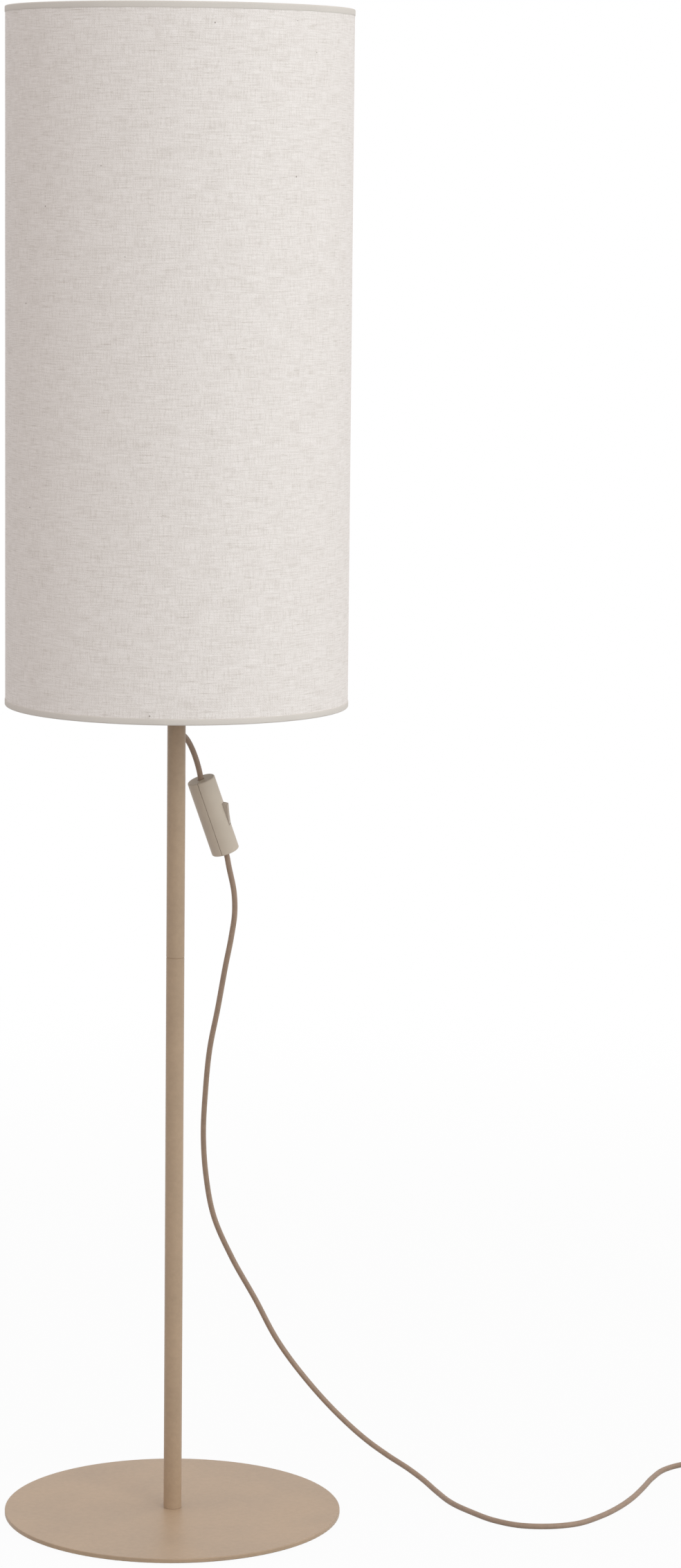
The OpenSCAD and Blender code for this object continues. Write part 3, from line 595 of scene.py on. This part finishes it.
class Finishes(Enum):
    """Every finish on the lamp."""

    POWDER = PowderCoat("beige_powder_coat", linear(179, 154, 128))
    LINEN = SlubLinen("slub_linen", linear(247, 241, 237))
    TAPE = EdgeTape("edge_tape", linear(218, 211, 203))
    SHEATH = Sheath("lead_sheath", linear(160, 136, 117))
    GROMMET = Moulded("grommet_rubber", linear(158, 139, 122), roughness=0.6)
    SHELL = Moulded("switch_plastic", linear(202, 188, 171))
    ROCKER = Moulded("rocker_plastic", linear(186, 172, 157), roughness=0.55)
    WHITE = Moulded("white_plastic", linear(232, 231, 227), roughness=0.4)
    BLACK = Moulded("black_insulator", linear(34, 33, 32), roughness=0.25, depth_mm=0.005)
    STRAP = Moulded("coil_strap", linear(182, 168, 152), roughness=0.62, grain_mm=0.8, depth_mm=0.1)
    ZINC = Plated("zinc_plating", (0.55, 0.56, 0.58), roughness=0.34)
    BRASS = Plated("plain_brass", (0.76, 0.56, 0.24), roughness=0.30)
    NICKEL = Plated("nickel_plating", (0.66, 0.63, 0.58), roughness=0.20)
    WIRE = Moulded("white_coated_wire", linear(226, 224, 219), roughness=0.38, grain_mm=1.2)
    FOIL = Foil("inner_foil", linear(236, 233, 227))
    FELT = Felt("grey_felt", linear(92, 88, 84))
    OPAL = Opal("opal_globe", linear(242, 240, 236))

    def dress(self, *pieces: bpy.types.Object) -> None:
        """Puts the finish on pieces, in place of whatever they wear.

        Args:
            pieces: Meshes or curves.
        """
        for piece in pieces:
            piece.data.materials.clear()
            piece.data.materials.append(self.value.material())


# ---------------------------------------------------------------- meshes and curves


def turned(
    name: str,
    profile: Sequence[tuple[float, float]],
    sides: int,
    shape: Optional[Callable[[float, float, float, int], tuple[float, float]]] = None,
    closed: bool = True,
) -> bpy.types.Object:
    """Turns a profile round the Z axis.

    Args:
        name: The new piece's name.
        profile: Points (radius, height) in millimetres.
        sides: Steps round the axis.
        shape: Moves a point: it takes radius, height, angle and the point's place in the
            profile and gives the new radius and height.
        closed: Whether the profile's last point joins its first.

    Returns:
        The piece, smooth.
    """
    mesh = bpy.data.meshes.new(name)
    build = bmesh.new()
    rings = []
    for step in range(sides):
        angle = math.tau * step / sides
        ring = []
        for place, (radius, height) in enumerate(profile):
            r, h = shape(radius, height, angle, place) if shape else (radius, height)
            spot = (r * MM * math.sin(angle), -r * MM * math.cos(angle), h * MM)
            ring.append(build.verts.new(spot))
        rings.append(ring)
    last = len(profile) if closed else len(profile) - 1
    for step in range(sides):
        here, there = rings[step], rings[(step + 1) % sides]
        for place in range(last):
            after = (place + 1) % len(profile)
            build.faces.new((here[place], there[place], there[after], here[after]))
    bmesh.ops.recalc_face_normals(build, faces=build.faces)
    build.to_mesh(mesh)
    build.free()
    return shown(name, mesh)


def shown(name: str, data: bpy.types.ID) -> bpy.types.Object:
    """Links a mesh or curve to the scene. A mesh is smooth but for its sharp corners.

    Args:
        name: The piece's name.
        data: Its mesh or curve.

    Returns:
        The piece.
    """
    piece = bpy.data.objects.new(name, data)
    bpy.context.scene.collection.objects.link(piece)
    if isinstance(data, bpy.types.Mesh):
        data.shade_smooth()
        data.set_sharp_from_angle(angle=math.radians(SHARP_DEGREES))
    return piece


def arc(
    centre: tuple[float, float], radius: float, start: float, end: float, steps: int
) -> list[tuple[float, float]]:
    """Gives points on an arc.

    Args:
        centre: Its centre (radius, height).
        radius: Its radius.
        start: First angle in degrees.
        end: Last angle in degrees.
        steps: Stretches between the points.

    Returns:
        The points, both ends included.
    """
    turns = (math.radians(start + (end - start) * i / steps) for i in range(steps + 1))
    return [(centre[0] + radius * math.cos(a), centre[1] + radius * math.sin(a)) for a in turns]


# ---------------------------------------------------------------- camera and studio


@dataclass
class Viewpoint:
    """The photograph's camera."""

    place: Colour = (0.0, -3.785, 1.181)
    yaw: float = 2.18
    pitch: float = 7.82
    roll: float = 0.6
    lens_mm: float = 100.06
    sensor_mm: float = 36.0
    clip: tuple[float, float] = (0.05, 100.0)

    def build(self) -> bpy.types.Object:
        """Makes the camera and gives it to the scene.

        Returns:
            The camera.
        """
        yaw, pitch, roll = (math.radians(a) for a in (self.yaw, self.pitch, self.roll))
        ahead = Vector(
            (math.sin(yaw) * math.cos(pitch), math.cos(yaw) * math.cos(pitch), -math.sin(pitch))
        )
        right = Vector((math.cos(yaw), -math.sin(yaw), 0.0))
        up = right.cross(ahead)
        across = right * math.cos(roll) + up * math.sin(roll)
        upward = up * math.cos(roll) - right * math.sin(roll)
        data = bpy.data.cameras.new("camera")
        data.sensor_fit = "AUTO"
        data.sensor_width = self.sensor_mm
        data.lens = self.lens_mm
        data.clip_start, data.clip_end = self.clip
        camera = bpy.data.objects.new("camera", data)
        bpy.context.scene.collection.objects.link(camera)
        turn = Matrix((across, upward, -ahead)).transposed()
        camera.matrix_world = Matrix.Translation(self.place) @ turn.to_4x4()
        bpy.context.scene.camera = camera
        return camera


@dataclass
class Studio:
    """A white studio: soft light that leans to one side, two lamps on the right, a pale floor."""

    ambient: Colour = (0.84, 0.808, 0.797)
    slant: Colour = (0.12, 0.0, 0.08)
    tint: Colour = (0.88, 1.0, 1.04)
    key_place: Colour = (1.9, -3.0, 1.9)
    key_height: float = 1.1
    key_size: float = 1.5
    key_power: float = 29.0
    side_place: Colour = (3.6, -0.6, 1.7)
    side_height: float = 0.9
    side_size: float = 1.8
    side_power: float = 13.0
    floor_radius: float = 9.0
    floor_sides: int = 96
    floor_drop: float = 0.0002
    floor_tone: float = 0.46
    lift: float = 0.96
    lift_grows: tuple[float, float] = (0.9, 2.6)

    def build(self) -> None:
        """Makes the world, the lamps and the floor."""
        scene = bpy.context.scene
        scene.view_settings.view_transform = "Standard"
        self._world(scene)
        self._lamp("key", self.key_place, self.key_height, self.key_size, self.key_power)
        self._lamp("side", self.side_place, self.side_height, self.side_size, self.side_power)
        self._floor()

    @staticmethod
    def _seen(board: Board) -> Wire:
        """Gives 1 on the rays that show the background: seen, mirrored or let through."""
        rays = board.node("ShaderNodeLightPath", out="Is Camera Ray")
        others = rays.socket.node.outputs
        mirrored = Wire(board, others["Is Glossy Ray"])
        through = Wire(board, others["Is Transmission Ray"])
        return rays.most(mirrored).most(through)

    def _world(self, scene: bpy.types.Scene) -> None:
        """Makes the world: white where it is seen, elsewhere soft light that leans to one side."""
        world = bpy.data.worlds.new("studio")
        world.use_nodes = True
        scene.world = world
        board = Board(world.node_tree)
        seen = self._seen(board)
        colour = board.mix(seen, self.ambient, WHITE_LIGHT)
        x, y, z = board.axes(board.node("ShaderNodeTexCoord", out="Generated"))
        lean = x * self.slant[0] + y * self.slant[1] + z * self.slant[2]
        strength = 1 + lean * (1 - seen)
        sky = board.node("ShaderNodeBackground", feeds={"Color": colour, "Strength": strength})
        board.end("ShaderNodeOutputWorld", sky)

    def _lamp(self, name: str, place: Colour, height: float, size: float, power: float) -> None:
        """Adds a square lamp.

        Args:
            name: The lamp's name.
            place: Where it hangs.
            height: How high on the pole it points.
            size: Its side in metres.
            power: Its power in watts.
        """
        data = bpy.data.lights.new(name, "AREA")
        data.size, data.energy, data.color = size, power, self.tint
        lamp = bpy.data.objects.new(name, data)
        lamp.location = place
        aim = Vector((0.0, 0.0, height)) - Vector(place)
        lamp.rotation_euler = aim.to_track_quat("-Z", "Y").to_euler()
        bpy.context.scene.collection.objects.link(lamp)

    def _floor(self) -> None:
        """Makes the floor, lifted to white where it is seen, with the shadows left on it."""
        rim = [(0.0, 0.0), (self.floor_radius / MM, 0.0)]
        floor = turned("floor", rim, self.floor_sides, closed=False)
        floor.location.z = -self.floor_drop
        made = bpy.data.materials.new("studio_floor")
        made.use_nodes = True
        board = Board(made.node_tree)
        place = board.place()
        far = board.node("ShaderNodeVectorMath", {"operation": "LENGTH"}, {0: place}, "Value")
        lifted = far.ramp(*self.lift_grows) * (1 - self.lift) + self.lift
        plain = board.node(
            "ShaderNodeBsdfDiffuse", feeds={"Color": (self.floor_tone,) * 3, "Roughness": 0.0}
        )
        white = board.node("ShaderNodeEmission", feeds={"Color": WHITE_LIGHT, "Strength": 1.0})
        both = board.node(
            "ShaderNodeMixShader", feeds={0: self._seen(board) * lifted, 1: plain, 2: white}
        )
        board.end("ShaderNodeOutputMaterial", both)
        floor.data.materials.append(made)


# ---------------------------------------------------------------- lead


@dataclass
class Lead:
    """The lead: from the pole into the switch, then down, along the floor and into its coil.

    All sizes are in millimetres, and the routes are the frame's own.
    """

    thick: float = 5.0
    exit_az: float = 74.0
    exit_r: float = 10.0
    exit_z: float = 702.0
    switch_top: Colour = (21.7, 36.0, 659.5)
    switch_lean: float = 20.7
    switch_lean_az: float = 205.0
    switch_long: float = 70.5
    lead_in: float = 6.0
    feed_start: float = 1.5
    feed_out: float = 23.5
    feed_drop: float = 19.0
    feed_aside: float = 3.6
    feed_steps: int = 24
    inner_bend: float = 6.0
    bend_steps: int = 12
    holder_z: float = 937.0
    coil_xy: tuple[float, float] = (526.0, 109.3)
    coil_r: float = 21.0
    pitch: float = 5.5
    turns: float = 6.25
    coil_z: float = 3.5
    plug_drop: float = 34.0
    plug_z: float = 6.85
    line_step: float = 3.0
    tail_step: float = 2.0
    coil_steps: int = 60
    route: tuple[Colour, ...] = (
        (47.3, 48.5, 579), (52.2, 52, 554.2), (52.7, 54.5, 535.7), (50.2, 58, 516),
        (45, 65.5, 486.5),
        (38.5, 77, 446), (31.5, 90.5, 405.5), (28, 104, 364), (26.5, 118, 318),
        (29, 128, 281.5), (36.5, 138, 240), (53.5, 145.5, 199), (75.5, 150, 158.5),
        (96.5, 150, 119), (125.5, 145.5, 80.5), (154, 135, 51.5), (179.5, 120, 32),
        (198, 106, 22), (216.5, 88, 14.5), (228.5, 72, 9.5), (240, 51, 4.5),
        (251, 25, 2.5), (268, -5, 2.5), (288, -31, 2.5), (308, -44.5, 2.5),
        (333, -48, 2.5), (358, -41.5, 2.5), (385, -16.5, 2.5), (403, 9, 2.5),
        (418, 37, 2.5), (431, 68, 2.5), (443, 99, 2.5), (457, 125, 2.5),
        (474, 140, 2.5), (498, 146.5, 3.0),
    )  # fmt: skip

    def build(self, nodes: Mapping[str, bpy.types.Object]) -> list[bpy.types.Object]:
        """Args:
            nodes: The frame's nodes; not used.

        Returns:
            The three curves.
        """
        feed = self._curve("lead_feed", self._feed())
        mains = self._curve("lead_mains", self._mains())
        inner = self._curve("lead_inner", self._inner())
        for piece in (feed, mains, inner):
            Finishes.SHEATH.dress(piece)
            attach(piece, "lamp")
        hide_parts("inner_cord")
        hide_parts("feed_cord")
        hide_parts("mains_cord", "cord_coil", "cord_tail")
        return [inner, feed, mains]

    def _curve(self, name: str, points: Sequence[Vector]) -> bpy.types.Object:
        """Makes one open round curve through the points.

        Args:
            name: The piece's name.
            points: Its line, in millimetres.

        Returns:
            The piece.
        """
        data = bpy.data.curves.new(name, "CURVE")
        data.dimensions = "3D"
        data.bevel_depth = self.thick / 2 * MM
        data.bevel_resolution = 5
        data.use_fill_caps = True
        line = data.splines.new("POLY")
        line.points.add(len(points) - 1)
        line.points.foreach_set("co", [c for p in points for c in (*(p * MM), 1.0)])
        line.use_smooth = True
        return shown(name, data)

    def _axis(self) -> Vector:
        """Gives the switch's axis, from its lower to its upper end."""
        lean, az = math.radians(self.switch_lean), math.radians(self.switch_lean_az)
        across = math.sin(lean)
        return Vector((across * math.cos(az), across * math.sin(az), math.cos(lean)))

    def _outward(self) -> Vector:
        """Gives the direction in which the lead leaves the pole."""
        az = math.radians(self.exit_az)
        return Vector((math.cos(az), math.sin(az), 0.0))

    def _exit(self) -> Vector:
        """Gives the point where the lead leaves the grommet."""
        return self._outward() * self.exit_r + Vector((0.0, 0.0, self.exit_z))

    def _switch_end(self) -> Vector:
        """Gives the middle of the switch's lower end."""
        return Vector(self.switch_top) - self._axis() * self.switch_long

    def _feed(self) -> list[Vector]:
        """Gives the short way from the grommet round into the switch."""
        top, start, axis, out = Vector(self.switch_top), self._exit(), self._axis(), self._outward()
        above = top + axis * self.feed_drop + Vector((self.feed_aside, 0.0, 0.0))
        ends = (start + out * self.feed_start, start + out * self.feed_out, above, top)
        line = [start]
        for step in range(self.feed_steps + 1):
            t = step / self.feed_steps
            s = 1 - t
            shares = (s * s * s, 3 * s * s * t, 3 * s * t * t, t * t * t)
            line.append(sum((p * w for p, w in zip(ends, shares)), Vector((0.0, 0.0, 0.0))))
        return line + [top - axis * self.lead_in]

    def _inner(self) -> list[Vector]:
        """Gives the way inside the pole, from the grommet round a bend and up to the lampholder."""
        bend, out, rise = self.inner_bend, self._outward(), Vector((0.0, 0.0, 1.0))
        centre = out * bend + rise * (self.exit_z + bend)
        turn = [
            centre - rise * (bend * math.cos(a)) - out * (bend * math.sin(a))
            for a in (math.pi / 2 * k / self.bend_steps for k in range(self.bend_steps + 1))
        ]
        return [self._exit(), *turn, rise * self.holder_z]

    def _coil_point(self, turn: float) -> Vector:
        """Gives a point of the coil: it spirals in, climbs a layer and spirals out on top."""
        u = turn - self.turns / 2
        radius = self.coil_r + self.pitch * abs(u)
        climb = min(1.0, max(0.0, 2 * u + 0.5))
        az = math.radians(90 - 360 * turn)
        return Vector(
            (
                self.coil_xy[0] + radius * math.cos(az),
                self.coil_xy[1] + radius * math.sin(az),
                self.coil_z + self.pitch * climb * climb * (3 - 2 * climb),
            )
        )

    def _mains(self) -> list[Vector]:
        """Gives the way from the switch down to the floor, into the coil and to the plug."""
        end, axis, thick = self._switch_end(), self._axis(), self.thick
        start = self._coil_point(0.0)
        hanging = [end + axis * self.lead_in, end, *map(Vector, self.route)]
        hanging += [start - Vector((2 * thick, 0, 0)), start - Vector((thick, 0, 0))]
        steps = self.coil_steps * round(self.turns * 4) // 4
        coil = [self._coil_point(self.turns * i / steps) for i in range(steps + 1)]
        out = coil[-1]
        relief = Vector((out.x, out.y - self.plug_drop, self.plug_z))
        back = Vector((0, thick, 0))
        tail = [out - back, out - 2 * back, relief + back, relief]
        return smooth_line(hanging, self.line_step) + coil + smooth_line(tail, self.tail_step)


def smooth_line(points: Sequence[Vector], step: float) -> list[Vector]:
    """Runs a smooth curve through points, each stretch a cubic led by its neighbours.

    Args:
        points: The points, in millimetres.
        step: The distance between the new points.

    Returns:
        The new points, both ends included.
    """
    last = len(points) - 1

    def slope(i: int) -> Vector:
        """Gives the direction at a point."""
        if i in (0, last):
            ahead = points[1] - points[0] if i == 0 else points[i] - points[i - 1]
            return ahead.normalized()
        a, b = points[i] - points[i - 1], points[i + 1] - points[i]
        before, after = a.length, b.length
        return (a * (after / before) + b * (before / after)) / (before + after)

    line = []
    for i in range(last):
        a, b = points[i], points[i + 1]
        reach = (b - a).length
        cuts = max(1, round(reach / step))
        for k in range(cuts):
            t = k / cuts
            s = 1 - t
            spot = a * ((1 + 2 * t) * s * s) + b * (t * t * (3 - 2 * t))
            line.append(spot + (slope(i) * (t * s * s) - slope(i + 1) * (t * t * s)) * reach)
    return line + [points[last]]


# ---------------------------------------------------------------- shade


@dataclass
class Shade:
    """The shade: cloth on a stiff foil, its edge tapes, and the wires inside.

    All sizes are in millimetres.
    """

    low: float = 730.0
    tall: float = 600.0
    outer_r: float = 150.0
    tape_t: float = 0.4
    gap: float = 0.05
    cloth_t: float = 0.4
    tape_h: float = 5.5
    tape_thins: tuple[tuple[float, float], ...] = ((0.28, 0.0), (0.1, 0.3), (0.0, 0.8))
    edge_r: float = 1.2
    inner_r: float = 144.1
    seam_w: float = 9.0
    seam_rise: float = 0.22
    wander: float = 0.06
    fray: float = 0.18
    rows: int = 60
    sides: int = 240

    def build(self, nodes: Mapping[str, bpy.types.Object]) -> list[bpy.types.Object]:
        """Makes the cloth and the tapes and dresses the wires.

        Args:
            nodes: The frame's nodes.

        Returns:
            The new pieces.
        """
        cloth = self._cloth()
        tapes = [self._tape("tape_top", True), self._tape("tape_bottom", False)]
        Finishes.LINEN.dress(cloth)
        Finishes.TAPE.dress(*tapes)
        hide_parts("shade_fabric")
        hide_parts("top_trim")
        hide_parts("bottom_trim")
        for piece in (cloth, *tapes):
            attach(piece, "lamp")
        Finishes.FOIL.dress(nodes["shade_liner"])
        wires = ("fitter_ring", "shade_arms", "top_ring", "bottom_ring")
        Finishes.WIRE.dress(*(nodes[n] for n in wires))
        return [cloth, *tapes]

    def _cloth(self) -> bpy.types.Object:
        """Makes the cloth: a thin wall that swells by a hair over its slubs and its overlap."""
        outer = self.outer_r - self.tape_t - self.gap
        inner = outer - self.cloth_t
        low, high = self.low + self.edge_r, self.low + self.tall - self.edge_r
        heights = [low + (high - low) * i / self.rows for i in range(self.rows + 1)]
        profile = [(outer, h) for h in heights] + [(inner, h) for h in reversed(heights)]

        def swell(radius: float, height: float, angle: float, place: int) -> tuple[float, float]:
            """Lets the outer face wander by a few hundredths of a millimetre."""
            if radius < outer:
                return radius, height
            spot = Vector((math.sin(angle) * 2.2, math.cos(angle) * 2.2, height / 90))
            back = abs(math.pi - angle) * self.outer_r < self.seam_w / 2
            clear = min(height - low, high - height) > self.tape_h
            lap = self.seam_rise if back and clear else 0.0
            return radius + self.wander * wave_noise(spot) + lap, height

        return turned("shade_cloth", profile, self.sides * 2, swell)

    def _tape(self, name: str, top: bool) -> bpy.types.Object:
        """Makes one edge tape, folded over the rim and round the rim wire.

        Args:
            name: The piece's name.
            top: Whether it is the upper one.

        Returns:
            The piece.
        """
        out, inn, h, r, t = self.outer_r, self.inner_r, self.tape_h, self.edge_r, self.tape_t
        outside = [(out - dip, along - h) for dip, along in self.tape_thins]
        outside += [(out, -h * 0.55), (out, -r)]
        outside += arc((out - r, -r), r, 0, 90, 6)[1:] + [((out + inn) / 2, 0.0)]
        outside += arc((inn + r, -r), r, 90, 180, 6) + [(inn, -h * 0.55), (inn, -h)]
        inside = [(inn + t, -h), (inn + t, -h * 0.55), (inn + t, -r)]
        inside += arc((inn + r, -r), r - t, 180, 90, 4)[1:] + [((out + inn) / 2, -t)]
        inside += arc((out - r, -r), r - t, 90, 0, 4) + [(out - t, -h * 0.55), (out - t, -h)]
        profile = outside + inside
        way, edge = (1, self.low + self.tall) if top else (-1, self.low)
        free = {0, len(outside) - 1, len(outside), len(profile) - 1}

        def fold(radius: float, height: float, angle: float, place: int) -> tuple[float, float]:
            """Lets the tape's free edges run a little unevenly."""
            spot = Vector((math.sin(angle) * 9, math.cos(angle) * 9, 5.0 * way))
            off = self.fray * wave_noise(spot) if place in free else 0.0
            return radius, edge + way * (height + off)

        return turned(name, profile, self.sides, fold)


# ---------------------------------------------------------------- the rigid pieces


@dataclass
class Stand:
    """The foot and the pole."""

    pad_r: float = 10.0
    pad_t: float = 2.0
    pad_ring_r: float = 131.0
    pads: int = 6
    pad_soft: float = 0.5
    pad_sides: int = 48

    def build(self, nodes: Mapping[str, bpy.types.Object]) -> list[bpy.types.Object]:
        """Dresses the foot and the pole and makes the felt pads.

        Args:
            nodes: The frame's nodes.

        Returns:
            The new pieces.
        """
        Finishes.POWDER.dress(*(nodes[n] for n in ("base_plate", "lower_pole", "upper_pole")))
        inner = ("foot_screw", "foot_insert", "joint_socket", "joint_stud", "head_insert")
        Finishes.ZINC.dress(*(nodes[n] for n in inner))
        Finishes.GROMMET.dress(nodes["cord_grommet"])
        pads = self._pads()
        Finishes.FELT.dress(pads)
        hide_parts("felt_pads")
        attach(pads, "lamp")
        return [pads]

    def _pads(self) -> bpy.types.Object:
        """Makes the felt pads, pressed a little at their edges."""
        mesh = bpy.data.meshes.new("felt_feet")
        build = bmesh.new()
        soft = self.pad_soft
        profile = [(self.pad_r - soft, 0.0)]
        profile += arc((self.pad_r - soft, soft), soft, -60, 60, 4)
        profile += [(self.pad_r - 0.2, self.pad_t)]
        for number in range(self.pads):
            az = math.tau * (number + 0.5) / self.pads
            middle = Vector((math.cos(az), math.sin(az), 0.0)) * self.pad_ring_r
            around = [math.tau * k / self.pad_sides for k in range(self.pad_sides)]
            rings = [
                [
                    build.verts.new((middle + Vector((r * math.cos(a), r * math.sin(a), h))) * MM)
                    for a in around
                ]
                for r, h in profile
            ]
            for below, above in zip(rings, rings[1:]):
                for k in range(self.pad_sides):
                    n = (k + 1) % self.pad_sides
                    build.faces.new((below[k], below[n], above[n], above[k]))
            build.faces.new(list(reversed(rings[0])))
            build.faces.new(rings[-1])
        bmesh.ops.recalc_face_normals(build, faces=build.faces)
        build.to_mesh(mesh)
        build.free()
        return shown("felt_feet", mesh)


@dataclass
class Lampholder:
    """The lampholder under the bulb."""

    def build(self, nodes: Mapping[str, bpy.types.Object]) -> list[bpy.types.Object]:
        """Dresses the lampholder.

        Args:
            nodes: The frame's nodes.

        Returns:
            No new pieces.
        """
        Finishes.POWDER.dress(*(nodes[n] for n in ("holder_cap", "holder_body", "shade_ring_nut")))
        Finishes.ZINC.dress(nodes["holder_nipple"])
        Finishes.WHITE.dress(nodes["holder_core"], nodes["holder_wires"])
        brass = ("holder_terminals", "screw_shell", "centre_contact")
        Finishes.BRASS.dress(*(nodes[n] for n in brass))
        return []


@dataclass
class Bulb:
    """The bulb, with a real thread on its cap. Sizes are in millimetres."""

    tip_z: float = 959.9
    skirt: float = 5.0
    cap_long: float = 27.0
    cap_r: float = 13.2
    thread_pitch: float = 3.6
    thread_deep: float = 0.7
    wall: float = 0.5
    rows: int = 90
    sides: int = 96

    def build(self, nodes: Mapping[str, bpy.types.Object]) -> list[bpy.types.Object]:
        """Dresses the bulb and makes its threaded cap.

        Args:
            nodes: The frame's nodes.

        Returns:
            The new piece.
        """
        Finishes.NICKEL.dress(nodes["bulb_contact"])
        Finishes.BLACK.dress(nodes["bulb_insulator"])
        Finishes.WHITE.dress(nodes["bulb_housing"])
        Finishes.OPAL.dress(nodes["bulb_globe"])
        cap = self._cap()
        Finishes.NICKEL.dress(cap)
        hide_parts("bulb_cap")
        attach(cap, "bulb")
        return [cap]

    def _cap(self) -> bpy.types.Object:
        """Makes the cap with its rolled thread."""
        low, high = self.tip_z + self.skirt, self.tip_z + self.cap_long
        heights = [low + (high - low) * i / self.rows for i in range(self.rows + 1)]
        inner = self.cap_r - self.wall
        profile = [(self.cap_r, h) for h in heights] + [(inner, high), (inner, low)]

        def roll(radius: float, height: float, angle: float, place: int) -> tuple[float, float]:
            """Rolls the thread into the outer face."""
            if radius < self.cap_r:
                return radius, height
            fade = min(1.0, (height - low) / 3, max(0.0, (high - height - 2) / 3))
            wave = 0.5 - 0.5 * math.cos(math.tau * height / self.thread_pitch + angle)
            return radius - self.thread_deep * fade * wave * 0.6, height

        return turned("bulb_screw_cap", profile, self.sides, roll)


@dataclass
class InlineSwitch:
    """The in-line switch."""

    def build(self, nodes: Mapping[str, bpy.types.Object]) -> list[bpy.types.Object]:
        """Dresses the switch.

        Args:
            nodes: The frame's nodes.

        Returns:
            No new pieces.
        """
        Finishes.SHELL.dress(nodes["switch_front"], nodes["switch_back"])
        Finishes.ROCKER.dress(nodes["switch_rocker"])
        Finishes.ZINC.dress(nodes["rocker_pin"], nodes["switch_screws"])
        Finishes.WHITE.dress(nodes["switch_carrier"])
        brass = ("rocker_contact", "switch_contacts", "switch_wires")
        Finishes.BRASS.dress(*(nodes[n] for n in brass))
        return []


@dataclass
class Plug:
    """The plug and the strap round the coil."""

    def build(self, nodes: Mapping[str, bpy.types.Object]) -> list[bpy.types.Object]:
        """Dresses the plug and the strap.

        Args:
            nodes: The frame's nodes.

        Returns:
            No new pieces.
        """
        Finishes.SHELL.dress(nodes["plug_body"], nodes["plug_relief"])
        Finishes.BLACK.dress(nodes["plug_sleeves"])
        Finishes.NICKEL.dress(nodes["plug_pins"])
        Finishes.STRAP.dress(nodes["coil_tie"])
        return []


# ---------------------------------------------------------------- the whole lamp


def main() -> None:
    """Builds the studio and the lamp, piece by piece."""
    logging.basicConfig(level=logging.INFO, format="%(name)s: %(message)s")
    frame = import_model()
    nodes = frame["nodes"]
    Viewpoint().build()
    for part in (Lead(), Shade(), Stand(), Lampholder(), Bulb(), InlineSwitch(), Plug()):
        for piece in part.build(nodes):
            LOG.info("%s: %s", type(part).__name__, piece.name)
    Studio().build()


if __name__ == "__main__":
    main()
